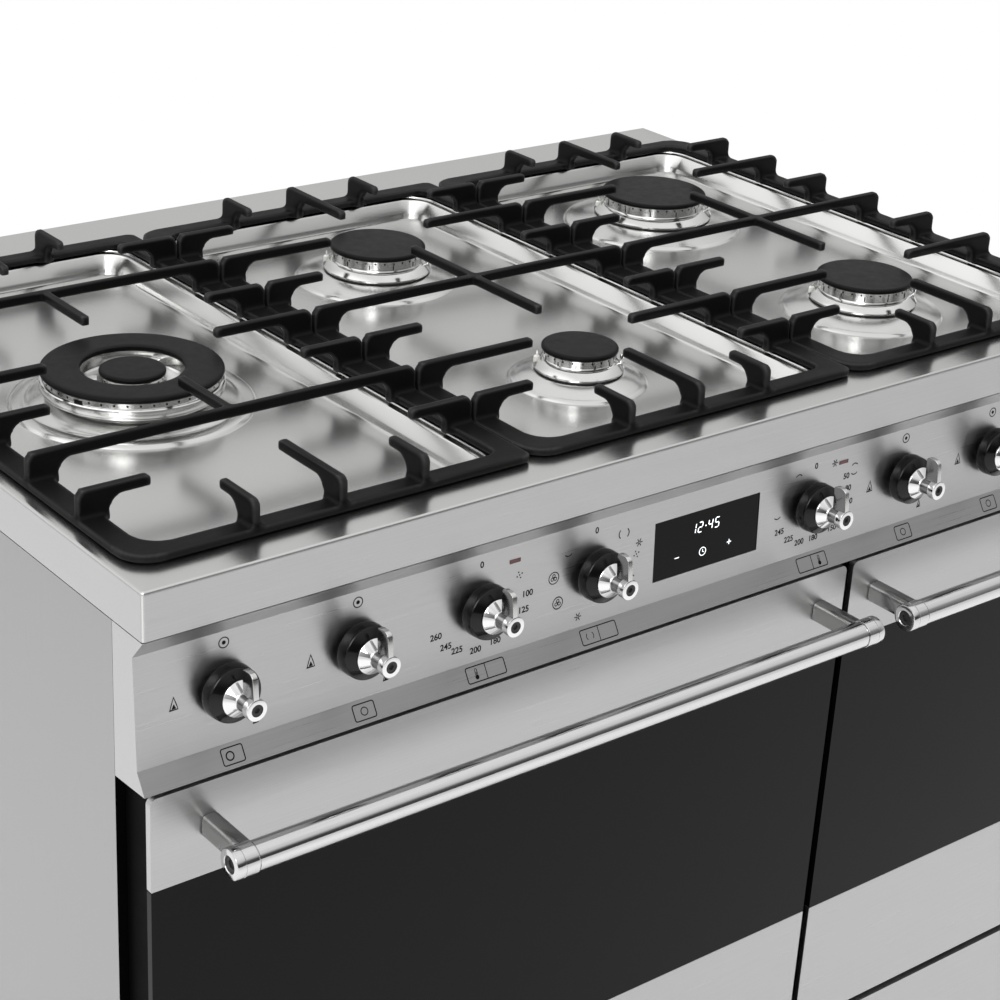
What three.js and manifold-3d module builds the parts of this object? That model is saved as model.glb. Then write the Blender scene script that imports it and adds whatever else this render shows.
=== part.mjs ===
// Range cooker, 900 mm wide, with two side-by-side ovens, five gas burners and a storage drawer.
// Millimetres, +Z up, -Y is the front that the cook faces, X runs along the front.
// Inside the helpers x = 0 is the middle of the cooker, y = 0 the face of the worktop's front edge
// and z = 0 the floor. The last lines move the whole so that its origin is the bottom centre.

import * as THREE from 'three';
import { mergeVertices } from 'three/addons/utils/BufferGeometryUtils.js';
import Module from 'manifold-3d';

const wasm = await Module();
wasm.setup();

// ---------------------------------------------------------------- driving dimensions
const cooker = { width: 900, depth: 600, height: 900 };
const fit = 0.3;                     // running clearance between pieces that touch
const sheet = 1.5;                   // thickness of the folded steel sheets
const seam = 3.5;                    // gap between the front panels, one above another
const doorGap = 7;                   // gap between the two doors

const worktop = {
  skirt: 32,                         // height of the folded edge all round
  panDepth: 17,                      // how far the three pans are pressed down
  panMargin: 17,                     // pan wall to the outside of its pan support
  panCorner: 16,
  bossHeight: 8,                     // raised cone under each burner
};

const support = {                    // cast-iron pan supports
  count: 3,
  sideMargin: 9,                     // worktop edge to the outer pan support
  front: 26,                         // worktop front edge to the pan supports
  back: 540,
  plate: 6,                          // thickness of the flat frame
  height: 24,                        // top of the fingers above the worktop
  frontBar: 16,                      // widths of the frame's bars
  sideBar: 18,
  bigCorner: 22,
  smallCorner: 7,
  finger: 6,                         // width of a finger
  fingerDepth: 7,                    // height of a finger at its tip
  rowPitch: 63,                      // spacing of the fingers along Y
  columnPitch: 62,                   // spacing of the fingers along X
  sideReach: 51,                     // outer edge to the tip of a short side finger
  middleReach: 101,                  // outer edge to the tip of a side finger at a burner
  wokReach: 82,                      // outer edge to the tips over the double-ring burner
  frontReach: 41,                    // outer edge to the tip of a short front finger
  centreReach: 72,                   // outer edge to the tip of the front middle finger
  centreReachTwo: 83,                // the same on the supports with two burners
  spur: 62,                          // spurs on the long bars of the left support
  crossSpur: 79,                     // half length of the cross spur of the other two
};

const burnerRows = 2;                // burner centres lie this many rows from the middle row
const wok = { bead: 84, ringOuter: 63, ringInner: 36, centreCap: 23, capTop: 10, centreDrop: 2 };
const burnerSizes = {                // radii of cap, flange and pressed bead
  small: { cap: 28, flange: 33, bead: 50, capTop: 10 },
  medium: { cap: 38, flange: 43, bead: 64, capTop: 12 },
  large: { cap: 45, flange: 51, bead: 76, capTop: 12 },
};
const burner = {
  cupDepth: 28, cupShare: 0.55,      // cup below the flange, and its share of the flange's radius
  flange: 2, headRise: 9,            // flange thickness, and the height where the slotted head begins
  headInset: 1.5, headWall: 5.5, capThickness: 4, wokCup: 30,
};

const panel = {                      // control panel, a folded sheet seen from its end
  height: 102.2,
  topSet: 12,                        // how far the main face lies behind the worktop's edge, at its top
  topSlope: 14.2,                    // height of the slanting strip under the worktop
  lowSet: 8.5,                       // the same at the crease above the lower lip
  lip: 13.5,                         // height of the lower lip, which slants forward again
  depth: 34.7,
};

const knobPlaces = {                 // four knobs on each side of the clock
  leftMargin: 61, clockGapLeft: 52,  // panel end to the first knob, and the fourth to the clock
  clockGapRight: 52, rightMargin: 61,
  each: 4,
  drop: 84,                          // worktop to the knobs' centres, where they leave the panel
};
const knob = {
  standoff: 3.5,                     // panel to the back of the collar
  push: 3,                           // how far a gas knob is pushed in
  collarBack: 18.5, collarFront: 17.8, collarLength: 9,
  shoulder: 3.5,                     // length of the slope in front of the collar
  rim: 12,
  spindle: 3,
  tube: 4.4, tubeLength: 8,          // sleeve round the spindle, behind the collar
  spindleHole: 5,
  cone: 6.5, stem: 5, stemLength: 7,
  hub: 7, hubLength: 6, socket: 3.4, socketDepth: 3,
  leverWidth: 3.8, leverRise: 23,
  leverLean: 1.5,                    // how far the lever's front edge leans back on its way up
  leverDepth: 13,                    // from the lever's front edge to its back edge
  leverNose: 3.5,                    // how far its top corners are cut off
};
const display = { width: 98, height: 44, drop: 84, depth: 14, recess: 0.5 };

const door = {
  thickness: 33, skin: 5, height: 420, topTrim: 65, bottomTrim: 115, face: 1, corner: 5,
  sideMargin: 4,                     // cooker side to the outer edge of a door
  liner: 1.5,                        // sheet of the inner liner
  heel: 7,                           // slanting lower back edge, clear of the casing as the door turns
  pivotSet: 14, pivotRise: 13,       // hinge pin behind the door's face and above its lower edge
};
const mainDoorShare = 0.649;         // width of the left door as a share of the cooker's
const windowRim = 70;                // liner around the inner glass
const handle = {
  bar: 9.6, sleeve: 10.3, standoff: 43, drop: 30, post: 12, postHeight: 15,
  outerMargin: 27, innerMargin: 12,  // handle end to the door's outer and inner edge
  postInset: 7.8, sleeveLength: 16, socket: 5.5, socketDepth: 3,
};

const oven = {
  height: 330, depth: 410, mouthDrop: 45, wall: 1.2, flange: 14,
  mainInset: 57, sideInset: 42.5,    // door edge to the inside of the oven
  guideRows: 3, guideDrop: 100, guidePitch: 75, guideDepth: 9, guideHeight: 5,
  rackRow: 1,                        // the guide that carries the rack, counted from the top
};
const rack = { wire: 5, crossWire: 3, crossPitch: 24, set: 24, depth: 340, sideGap: 1.5 };
const fan = { radius: 62, hub: 14, blade: 26, blades: 8, standoff: 12, disc: 1.5 };
const frontFrame = { set: 38, thickness: 3, bottom: 134 };

const drawer = {
  sill: 14, frontDepth: 18, boxDepth: 517, wall: 1.5, sideGap: 20, floorRise: 16,
  headroom: 33,                      // top of the box below the top of the drawer front
};
const base = { bottom: 132, wall: 2, lip: 22, railWidth: 14, railInset: 90, railFront: 5, railBack: 30 };
const vents = { columns: 3, rows: 3, sideMargin: 130, length: 160, height: 6, rowPitch: 24, drop: 160 };
const foot = { radius: 19, stem: 8, padHeight: 14, flange: 26, flangeHeight: 3, inset: 60 };
const gasRail = {
  set: 74, radius: 8, valve: 13, valveLength: 26,
  inletRadius: 10, inletInset: 60, inletStub: 14,
  strap: 16, strapInset: 110,        // width of the two straps that hang it from the worktop
};
const switches = {                   // thermostats and switch right behind the panel's face
  gap: 2.2, depth: 26, width: 36, height: 44, recess: 12, barThickness: 2, barHeight: 10,
};
const facets = { large: 24, medium: 20, knob: 16, small: 12 };

// ---------------------------------------------------------------- levels that follow from them
const halfWidth = cooker.width / 2;
const skirtBottom = cooker.height - worktop.skirt;
const panelTop = skirtBottom - fit;
const panelBottom = panelTop - panel.height;
const doorTop = panelBottom - seam;
const doorBottom = doorTop - door.height;
const drawerTop = doorBottom - 2 * seam;
const drawerBottom = base.bottom + drawer.sill;
const ovenTop = doorTop - oven.mouthDrop;
const ovenFront = frontFrame.set + frontFrame.thickness + fit;
const supportMiddle = (support.front + support.back) / 2;
const supportWidth = (cooker.width - 2 * support.sideMargin) / support.count;
const panFloor = cooker.height - worktop.panDepth;
const bossTop = panFloor + worktop.bossHeight;

// ---------------------------------------------------------------- materials
const paint = (name, color, roughness, metalness) =>
  new THREE.MeshStandardMaterial({ name, color, roughness, metalness });
const steel = paint('brushed_steel', 0xb9b9b7, 0.32, 1.0);
const chrome = paint('chrome', 0xd8d8d8, 0.1, 1.0);
const castIron = paint('cast_iron', 0x1b1b1b, 0.65, 0.1);
const enamel = paint('black_enamel', 0x161616, 0.4, 0.0);
const ovenEnamel = paint('oven_enamel', 0x24272b, 0.35, 0.0);
const blackGlass = paint('black_glass', 0x050505, 0.05, 0.0);
const aluminium = paint('burner_aluminium', 0xa9a9a6, 0.35, 1.0);
const galvanised = paint('galvanised_steel', 0x9a9c9d, 0.5, 0.9);
const blackPlastic = paint('black_plastic', 0x0b0b0b, 0.15, 0.0);
const brass = paint('brass', 0xb08d57, 0.35, 1.0);

// ---------------------------------------------------------------- solids
function solidOf(geometry) {
  const bare = geometry.clone();
  bare.deleteAttribute('normal');
  bare.deleteAttribute('uv');
  const merged = mergeVertices(bare, 1e-4);
  return new wasm.Manifold(new wasm.Mesh({
    numProp: 3,
    vertProperties: new Float32Array(merged.attributes.position.array),
    triVerts: new Uint32Array(merged.index.array),
  }));
}

function geometryOf(solid) {
  const mesh = solid.getMesh();
  const geometry = new THREE.BufferGeometry();
  geometry.setAttribute('position', new THREE.BufferAttribute(mesh.vertProperties, 3));
  geometry.setIndex(new THREE.BufferAttribute(mesh.triVerts, 1));
  geometry.computeVertexNormals();
  return geometry;
}

const addAll = (solids) => solids.reduce((sum, solid) => sum.add(solid));
const cutAll = (body, solids) => solids.reduce((rest, solid) => rest.subtract(solid), body);

// A box between two opposite corners.
function block(x0, x1, y0, y1, z0, z1) {
  const geometry = new THREE.BoxGeometry(x1 - x0, y1 - y0, z1 - z0);
  geometry.translate((x0 + x1) / 2, (y0 + y1) / 2, (z0 + z1) / 2);
  return solidOf(geometry);
}

// A closed outline of [u, v] points pushed along the third axis from a to b.
function prism(points, axis, a, b) {
  const shape = new THREE.Shape(points.map(([u, v]) => new THREE.Vector2(u, v)));
  return push(shape, axis, a, b);
}

function push(shape, axis, a, b, curveSegments = 6) {
  const geometry = new THREE.ExtrudeGeometry(shape, { depth: b - a, bevelEnabled: false, curveSegments });
  geometry.translate(0, 0, a);
  if (axis === 'x') geometry.applyMatrix4(new THREE.Matrix4().set(0, 0, 1, 0, 1, 0, 0, 0, 0, 1, 0, 0, 0, 0, 0, 1));
  if (axis === 'y') geometry.applyMatrix4(new THREE.Matrix4().set(1, 0, 0, 0, 0, 0, -1, 0, 0, 1, 0, 0, 0, 0, 0, 1));
  return solidOf(geometry);
}

// A rectangle with four rounded corners, radii from lower left round to upper left.
function roundedRectangle(x0, x1, y0, y1, radii) {
  const [lowLeft, lowRight, highRight, highLeft] = radii;
  const shape = new THREE.Shape();
  shape.moveTo(x0 + lowLeft, y0);
  shape.lineTo(x1 - lowRight, y0);
  shape.absarc(x1 - lowRight, y0 + lowRight, lowRight, -Math.PI / 2, 0);
  shape.absarc(x1 - highRight, y1 - highRight, highRight, 0, Math.PI / 2);
  shape.absarc(x0 + highLeft, y1 - highLeft, highLeft, Math.PI / 2, Math.PI);
  shape.absarc(x0 + lowLeft, y0 + lowLeft, lowLeft, Math.PI, 1.5 * Math.PI);
  return shape;
}

// A turned piece about the Z axis, from [radius, height] points that start and end on the axis.
function turned(profile, segments) {
  const points = profile.map(([r, z]) => new THREE.Vector2(r, z));
  const geometry = new THREE.LatheGeometry(points, segments);
  geometry.rotateX(Math.PI / 2);
  return solidOf(geometry);
}

const rod = (radius, z0, z1, segments = facets.small) =>
  turned([[0, z0], [radius, z0], [radius, z1], [0, z1]], segments);
const rodAlongX = (radius, x0, x1, y, z, segments = facets.small) =>
  rod(radius, x0, x1, segments).rotate([0, 90, 0]).translate([0, y, z]);
const rodAlongY = (radius, y0, y1, x, z, segments = facets.small) =>
  rod(radius, -y1, -y0, segments).rotate([90, 0, 0]).translate([x, 0, z]);

const assembly = new THREE.Group();

function place(name, solid, material) {
  const mesh = new THREE.Mesh(geometryOf(solid), material);
  mesh.name = name;
  assembly.add(mesh);
}

// ---------------------------------------------------------------- worktop and burners
const supportLeft = (index) => -halfWidth + support.sideMargin + index * supportWidth;
const supportCentre = (index) => supportLeft(index) + supportWidth / 2;
const burnerSet = burnerRows * support.rowPitch;

const burnerPlaces = [
  { name: 'front_centre', size: burnerSizes.small, x: supportCentre(1), y: supportMiddle - burnerSet },
  { name: 'rear_centre', size: burnerSizes.medium, x: supportCentre(1), y: supportMiddle + burnerSet },
  { name: 'front_right', size: burnerSizes.medium, x: supportCentre(2), y: supportMiddle - burnerSet },
  { name: 'rear_right', size: burnerSizes.large, x: supportCentre(2), y: supportMiddle + burnerSet },
];
const wokPlace = { x: supportCentre(0), y: supportMiddle };
const cupRadius = (size) => size.flange * burner.cupShare;

function pan(index, inset, floor, top) {
  const margin = worktop.panMargin + inset;
  const corner = worktop.panCorner;
  const outline = roundedRectangle(
    supportLeft(index) + margin, supportLeft(index) + supportWidth - margin,
    support.front + margin, support.back - margin, [corner, corner, corner, corner]);
  return push(outline, 'z', floor, top, 4);
}

function boss(place, bead, top, skin) {
  const foot = bead - skin;
  const profile = [[0, panFloor - sheet - skin], [foot, panFloor - sheet - skin], [foot, panFloor - skin],
    [top, bossTop - skin], [0, bossTop - skin]];
  return turned(profile, facets.large).translate([place.x, place.y, 0]);
}

function hobTop() {
  const top = cooker.height;
  let body = block(-halfWidth, halfWidth, 0, cooker.depth, skirtBottom, top);
  body = body.subtract(block(-halfWidth + sheet, halfWidth - sheet, sheet, cooker.depth - sheet,
    skirtBottom - 1, top - sheet));
  for (let index = 0; index < support.count; index += 1) {
    body = body.add(pan(index, -sheet, panFloor - sheet, top));
  }
  for (let index = 0; index < support.count; index += 1) {
    body = body.subtract(pan(index, 0, panFloor, top + 1));
  }
  const seats = burnerPlaces.map((place) => [place, place.size.bead, place.size.flange + 2, cupRadius(place.size)]);
  seats.push([wokPlace, wok.bead, wok.ringOuter - 8, burner.wokCup]);
  seats.forEach(([place, bead, seat, cup]) => {
    body = body.add(boss(place, bead, seat, 0));
    body = body.subtract(boss(place, bead, seat, sheet));
    body = body.subtract(rod(cup + 2, panFloor - 10, top, facets.medium).translate([place.x, place.y, 0]));
  });
  return body;
}

// A burner with a single ring of flame: cup, flange, slotted head.
function burnerBody({ x, y, size }) {
  const seat = bossTop + fit;
  const cup = cupRadius(size);
  const headTop = cooker.height + size.capTop - burner.capThickness - fit;
  const headLow = seat + burner.headRise;
  const outer = size.cap - burner.headInset;
  const inner = outer - burner.headWall;
  const profile = [[0, seat - burner.cupDepth], [cup, seat - burner.cupDepth], [cup, seat],
    [size.flange, seat], [size.flange, seat + burner.flange], [size.cap, headLow], [outer, headLow],
    [outer, headTop], [inner, headTop], [inner, headLow], [0, headLow]];
  return turned(profile, facets.medium).translate([x, y, 0]);
}

function cap(radius, top) {
  const low = top - burner.capThickness;
  const profile = [[0, low], [radius - 1, low], [radius, low + 1], [radius, top - 1], [radius - 1.2, top],
    [0, top]];
  return turned(profile, facets.medium);
}

// The double-ring burner: a base with a channel, and an inner head in its middle.
function wokBody() {
  const seat = bossTop + fit;
  const low = seat - burner.cupDepth;
  const headTop = cooker.height + wok.capTop - burner.capThickness - fit;
  const innerTop = headTop - wok.centreDrop;
  const outer = wok.ringOuter - 1;
  const inner = wok.ringInner + 1;
  const centre = wok.centreCap - 1;
  const channel = seat + 3;
  const profile = [[0, low], [burner.wokCup, low], [burner.wokCup, seat], [outer - 11, seat],
    [outer - 11, seat + 4], [outer + 2, seat + 7], [outer, seat + 13], [outer, headTop], [inner, headTop],
    [inner, channel], [centre, channel], [centre, innerTop], [0, innerTop]];
  return turned(profile, facets.large).translate([wokPlace.x, wokPlace.y, 0]);
}

function wokRingCap() {
  const top = cooker.height + wok.capTop;
  const low = top - burner.capThickness;
  const profile = [[wok.ringInner, low], [wok.ringOuter - 1, low], [wok.ringOuter, low + 1],
    [wok.ringOuter, top - 1], [wok.ringOuter - 1.2, top], [wok.ringInner, top], [wok.ringInner, low]];
  return turned(profile, facets.large).translate([wokPlace.x, wokPlace.y, 0]);
}

// ---------------------------------------------------------------- pan supports
// Side view of a finger: along is the distance from the frame's outer edge.
function fingerProfile(bar, reach) {
  const bottom = cooker.height + fit + support.plate - 1;
  const top = cooker.height + support.height;
  const under = top - support.fingerDepth;
  return [[1, bottom], [1, top - 4], [4, top], [reach - 1.5, top], [reach, top - 1.5],
    [reach, under], [bar + 9, under - 0.5], [bar + 3, under - 4], [bar, bottom]];
}

// A finger rooted on the side towards -X or +X (side = 1 or -1) of the support that starts at left.
function sideFinger(left, side, y, reach) {
  const start = side > 0 ? left : left + supportWidth - fit;
  const outline = fingerProfile(support.sideBar, reach).map(([along, z]) => [start + side * along, z]);
  return prism(outline, 'y', -y - support.finger / 2, -y + support.finger / 2);
}

// A finger rooted on the front or the back bar (side = 1 or -1).
function endFinger(x, side, reach) {
  const start = side > 0 ? support.front : support.back;
  const outline = fingerProfile(support.frontBar, reach).map(([along, z]) => [start + side * along, z]);
  return prism(outline, 'x', x - support.finger / 2, x + support.finger / 2);
}

function supportFrame(left, corners) {
  const right = left + supportWidth - fit;
  const low = cooker.height + fit;
  const outer = roundedRectangle(left, right, support.front, support.back, corners);
  const inset = corners.map((radius) => Math.max(radius - 4, 8));
  const inner = roundedRectangle(left + support.sideBar, right - support.sideBar,
    support.front + support.frontBar, support.back - support.frontBar, inset);
  return push(outer, 'z', low, low + support.plate)
    .subtract(push(inner, 'z', low - 1, low + support.plate + 1));
}

// A level bar at finger height between two points of one row or column.
function levelBar(x0, x1, y0, y1) {
  const top = cooker.height + support.height;
  const half = support.finger / 2;
  const wide = x1 - x0 > y1 - y0;
  return wide
    ? block(x0, x1, y0 - half, y1 + half, top - support.fingerDepth, top)
    : block(x0 - half, x1 + half, y0, y1, top - support.fingerDepth, top);
}

function panSupport(index) {
  const left = supportLeft(index);
  const right = left + supportWidth - fit;
  const centre = supportCentre(index);
  const big = support.bigCorner;
  const small = index === support.count - 1 ? big : support.smallCorner;
  const isWok = index === 0;
  const parts = [supportFrame(left, [big, small, small, big])];
  for (let row = -3; row <= 3; row += 1) {
    const y = supportMiddle + row * support.rowPitch;
    const isBurnerRow = Math.abs(row) === burnerRows;
    const isLong = isWok ? isBurnerRow : row === 0;
    let reach = isBurnerRow ? support.middleReach : support.sideReach;
    if (isWok && row === 0) reach = support.wokReach;
    if (isLong) reach = supportWidth * 0.4;
    parts.push(sideFinger(left, 1, y, reach), sideFinger(left, -1, y, reach));
    if (isLong) parts.push(levelBar(left + reach - 8, right - reach + 8, y, y));
  }
  const middleReach = isWok ? support.centreReach : support.centreReachTwo;
  for (let column = -1; column <= 1; column += 1) {
    const x = centre + column * support.columnPitch;
    const reach = column === 0 ? middleReach : support.frontReach;
    parts.push(endFinger(x, 1, reach), endFinger(x, -1, reach));
  }
  if (isWok) {
    const bar = burnerSet;
    parts.push(levelBar(centre, centre, supportMiddle - bar, supportMiddle - bar + support.spur));
    parts.push(levelBar(centre, centre, supportMiddle + bar - support.spur, supportMiddle + bar));
  } else {
    parts.push(levelBar(centre, centre, supportMiddle - support.crossSpur, supportMiddle + support.crossSpur));
  }
  return addAll(parts);
}

// ---------------------------------------------------------------- control panel, knobs and clock
const panelProfile = [[0, panelTop], [panel.topSet, panelTop - panel.topSlope],
  [panel.lowSet, panelBottom + panel.lip], [0, panelBottom], [panel.depth, panelBottom - 2],
  [panel.depth, panelTop]];
const faceDrop = panel.height - panel.topSlope - panel.lip;
const faceTilt = THREE.MathUtils.radToDeg(Math.atan2(panel.topSet - panel.lowSet, faceDrop));
const faceAt = (z) =>
  panel.topSet - ((panel.topSet - panel.lowSet) * (panelTop - panel.topSlope - z)) / faceDrop;

function controlPanel() {
  const t = sheet;
  const inner = [[t + 1.5, panelTop - t], [panel.topSet + t, panelTop - panel.topSlope - t / 2],
    [panel.lowSet + t + 0.3, panelBottom + panel.lip + t / 3], [t + 1, panelBottom + t],
    [panel.depth + 1, panelBottom + t - 2], [panel.depth + 1, panelTop - t]];
  let body = prism(panelProfile, 'x', -halfWidth, halfWidth);
  body = body.subtract(prism(inner, 'x', -halfWidth + t, halfWidth - t));
  const holes = knobCentres.map((x) => atPanel(rod(knob.spindleHole, -10, 10), x, knobHeight));
  holes.push(atPanel(block(-display.width / 2, display.width / 2, -display.height / 2, display.height / 2,
    -10, 10), 0, clockHeight));
  return cutAll(body, holes);
}

const knobHeight = cooker.height - knobPlaces.drop;
const clockHeight = cooker.height - display.drop;
const spread = (from, to) => Array.from({ length: knobPlaces.each },
  (unused, step) => from + ((to - from) * step) / (knobPlaces.each - 1));
const knobCentres = [
  ...spread(-halfWidth + knobPlaces.leftMargin, -display.width / 2 - knobPlaces.clockGapLeft),
  ...spread(display.width / 2 + knobPlaces.clockGapRight, halfWidth - knobPlaces.rightMargin),
];
const knobNames = ['gas_left', 'gas_rear_centre', 'main_oven_heat', 'main_oven_mode', 'side_oven',
  'gas_front_centre', 'gas_rear_right', 'gas_front_right'];
const isGas = (name) => name.startsWith('gas');
const valveFront = gasRail.set - gasRail.valveLength;

// Pieces on the panel are drawn with Z pointing away from its face and Y up, then turned to the front.
function atPanel(solid, x, z) {
  return solid.rotate([90 - faceTilt, 0, 0]).translate([x, faceAt(z), z]);
}

// The black collar with its sloping shoulder, bored for the spindle.
function collar() {
  const low = knob.standoff;
  const mid = low + knob.collarLength;
  const high = mid + knob.shoulder;
  const profile = [[knob.spindle, low - knob.tubeLength], [knob.tube, low - knob.tubeLength],
    [knob.tube, low], [knob.collarBack, low], [knob.collarFront, mid - 1], [knob.collarFront - 1, mid],
    [knob.rim, high], [knob.spindle, high], [knob.spindle, low - knob.tubeLength]];
  return turned(profile, facets.knob);
}

// The bright lever with its hub, on a spindle that runs back past the panel's face.
function lever(spindleReach) {
  const start = knob.standoff + knob.collarLength + knob.shoulder + fit;
  const stemStart = start + knob.cone;
  const hubStart = stemStart + knob.stemLength;
  const end = hubStart + knob.hubLength;
  const thin = knob.spindle - fit;
  const profile = [[0, -spindleReach], [thin, -spindleReach], [thin, start], [knob.rim - 0.5, start],
    [knob.rim - 1, start + 1], [knob.stem, stemStart], [knob.stem, hubStart], [knob.hub, hubStart],
    [knob.hub, end - 1], [knob.hub - 1, end], [knob.socket, end], [knob.socket, end - knob.socketDepth],
    [0, end - knob.socketDepth]];
  const top = knob.leverRise;
  const low = knob.stem - 1;
  const front = end - knob.leverLean;
  const back = end - knob.leverDepth;
  const nose = knob.leverNose;
  const blade = prism([[low, end - 0.5], [top - nose, front], [top, front - nose], [top, back + nose / 2],
    [top - nose / 2, back], [low, back]], 'x', -knob.leverWidth / 2, knob.leverWidth / 2);
  return turned(profile, facets.small).add(blade);
}

// An oven knob turns as one piece on its spindle.
function ovenKnob() {
  const filler = rod(knob.spindle + 0.2, 0, knob.standoff + knob.collarLength + knob.shoulder + 1);
  return addAll([collar(), filler, lever(switches.recess - 2 * fit)]);
}

function clock() {
  const w = display.width / 2 - fit;
  const h = display.height / 2 - fit;
  return atPanel(block(-w, w, -h, h, -display.recess - display.depth, -display.recess), 0, clockHeight);
}

// Thermostats and switch of the ovens, behind their knobs on one strip of steel.
function ovenSwitches() {
  const centres = knobCentres.filter((x, index) => !isGas(knobNames[index]));
  const half = switches.width / 2;
  const low = -switches.height / 2;
  const back = -switches.gap - switches.depth;
  const bodies = centres.map((x) =>
    atPanel(block(-half, half, low, -low, back, -switches.gap)
      .subtract(rod(knob.spindleHole, -switches.recess, 0)), x, knobHeight));
  const strip = atPanel(block(centres[0], centres[centres.length - 1], low, low + switches.barHeight,
    back, back + switches.barThickness), 0, knobHeight);
  return addAll([...bodies, strip]);
}

// The gas rail runs behind the control panel, with a valve for each gas knob, and back to the inlet.
function gasPipe() {
  const y = gasRail.set;
  const z = knobHeight - (valveFront - faceAt(knobHeight)) * Math.tan(THREE.MathUtils.degToRad(faceTilt));
  const valves = knobCentres.filter((x, index) => isGas(knobNames[index]));
  const inletX = halfWidth - gasRail.inletInset;
  const end = cooker.depth + gasRail.inletStub;
  const parts = [rodAlongX(gasRail.radius, valves[0] - 20, inletX + gasRail.radius, y, z),
    rodAlongY(gasRail.radius - 1, y, end - 2, inletX, z),
    rodAlongY(gasRail.inletRadius, end - 24, end, inletX, z)];
  valves.forEach((x) => {
    parts.push(rodAlongY(gasRail.valve, valveFront, y, x, z));
  });
  [-1, 1].forEach((side) => {
    const x = side * (halfWidth - gasRail.strapInset);
    const half = gasRail.strap / 2;
    parts.push(block(x - half, x + half, y - sheet, y + sheet, z, panFloor - sheet - fit));
  });
  return addAll(parts);
}

// ---------------------------------------------------------------- ovens and doors
const mainDoorLeft = -halfWidth + door.sideMargin;
const mainDoorRight = mainDoorLeft + cooker.width * mainDoorShare;
const sideDoorLeft = mainDoorRight + doorGap;
const sideDoorRight = halfWidth - door.sideMargin;
const units = [
  { name: 'main', left: mainDoorLeft, right: mainDoorRight,
    width: mainDoorRight - mainDoorLeft - 2 * oven.mainInset,
    handleLeft: mainDoorLeft + handle.outerMargin, handleRight: mainDoorRight - handle.innerMargin },
  { name: 'side', left: sideDoorLeft, right: sideDoorRight,
    width: sideDoorRight - sideDoorLeft - 2 * oven.sideInset,
    handleLeft: sideDoorLeft + handle.innerMargin, handleRight: sideDoorRight - handle.outerMargin },
];
const unitCentre = (unit) => (unit.left + unit.right) / 2;
const doorBack = door.thickness;
const pivot = { y: door.pivotSet, z: doorBottom + door.pivotRise };
const pin = 4;
const armWidth = 6;
const armInset = 40;

function frontSkin(unit, z0, z1, low, high) {
  const outline = roundedRectangle(unit.left, unit.right, z0, z1, [low, low, high, high]);
  return push(outline, 'y', -door.skin - door.face, -door.face, 4);
}

function cavity(unit) {
  const x0 = unitCentre(unit) - unit.width / 2;
  const x1 = x0 + unit.width;
  const y0 = ovenFront;
  const y1 = y0 + oven.depth;
  const z0 = ovenTop - oven.height;
  const t = oven.wall;
  let body = block(x0 - t, x1 + t, y0, y1 + t, z0 - t, ovenTop + t);
  body = body.add(block(x0 - oven.flange, x1 + oven.flange, y0, y0 + t, z0 - oven.flange, ovenTop + oven.flange));
  body = body.subtract(block(x0, x1, y0 - 1, y1, z0, ovenTop));
  for (let row = 0; row < oven.guideRows; row += 1) {
    const z = ovenTop - oven.guideDrop - row * oven.guidePitch;
    const g = oven.guideDepth;
    body = body.add(block(x0 - t / 2, x0 + g, y0 + 20, y1 - 20, z - oven.guideHeight, z));
    body = body.add(block(x1 - g, x1 + t / 2, y0 + 20, y1 - 20, z - oven.guideHeight, z));
  }
  return body;
}

function ovenRack(unit) {
  const x0 = unitCentre(unit) - unit.width / 2 + rack.sideGap;
  const x1 = x0 + unit.width - 2 * rack.sideGap;
  const y0 = ovenFront + rack.set;
  const y1 = y0 + rack.depth;
  const z = ovenTop - oven.guideDrop - oven.rackRow * oven.guidePitch + fit;
  const w = rack.wire;
  const parts = [block(x0, x1, y0, y0 + w, z, z + w), block(x0, x1, y1 - w, y1, z, z + w),
    block(x0, x0 + w, y0, y1, z, z + w), block(x1 - w, x1, y0, y1, z, z + w)];
  const room = x1 - x0 - 2 * w;
  const count = Math.round(room / rack.crossPitch);
  for (let step = 1; step < count; step += 1) {
    const x = x0 + w + (room * step) / count;
    const half = rack.crossWire / 2;
    parts.push(block(x - half, x + half, y0 + w / 2, y1 - w / 2, z + 1, z + 1 + rack.crossWire));
  }
  return addAll(parts);
}

// Convection fan on its shaft, close to the back wall of the main oven.
function ovenFan() {
  const unit = units[0];
  const x = unitCentre(unit);
  const z = ovenTop - oven.height / 2;
  const back = ovenFront + oven.depth - fan.standoff;
  const shaft = rodAlongY(fan.hub / 2, back - fan.blade, ovenFront + oven.depth - fit, x, z);
  const disc = rodAlongY(fan.radius, back - fan.disc, back, x, z, facets.medium);
  const blades = [];
  for (let step = 0; step < fan.blades; step += 1) {
    const blade = block(fan.radius * 0.45, fan.radius * 0.96, back - fan.blade, back - fan.disc / 2, -1, 1);
    blades.push(blade.rotate([0, (360 * step) / fan.blades, 0]).translate([x, 0, z]));
  }
  return addAll([shaft, disc, ...blades]);
}

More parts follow.
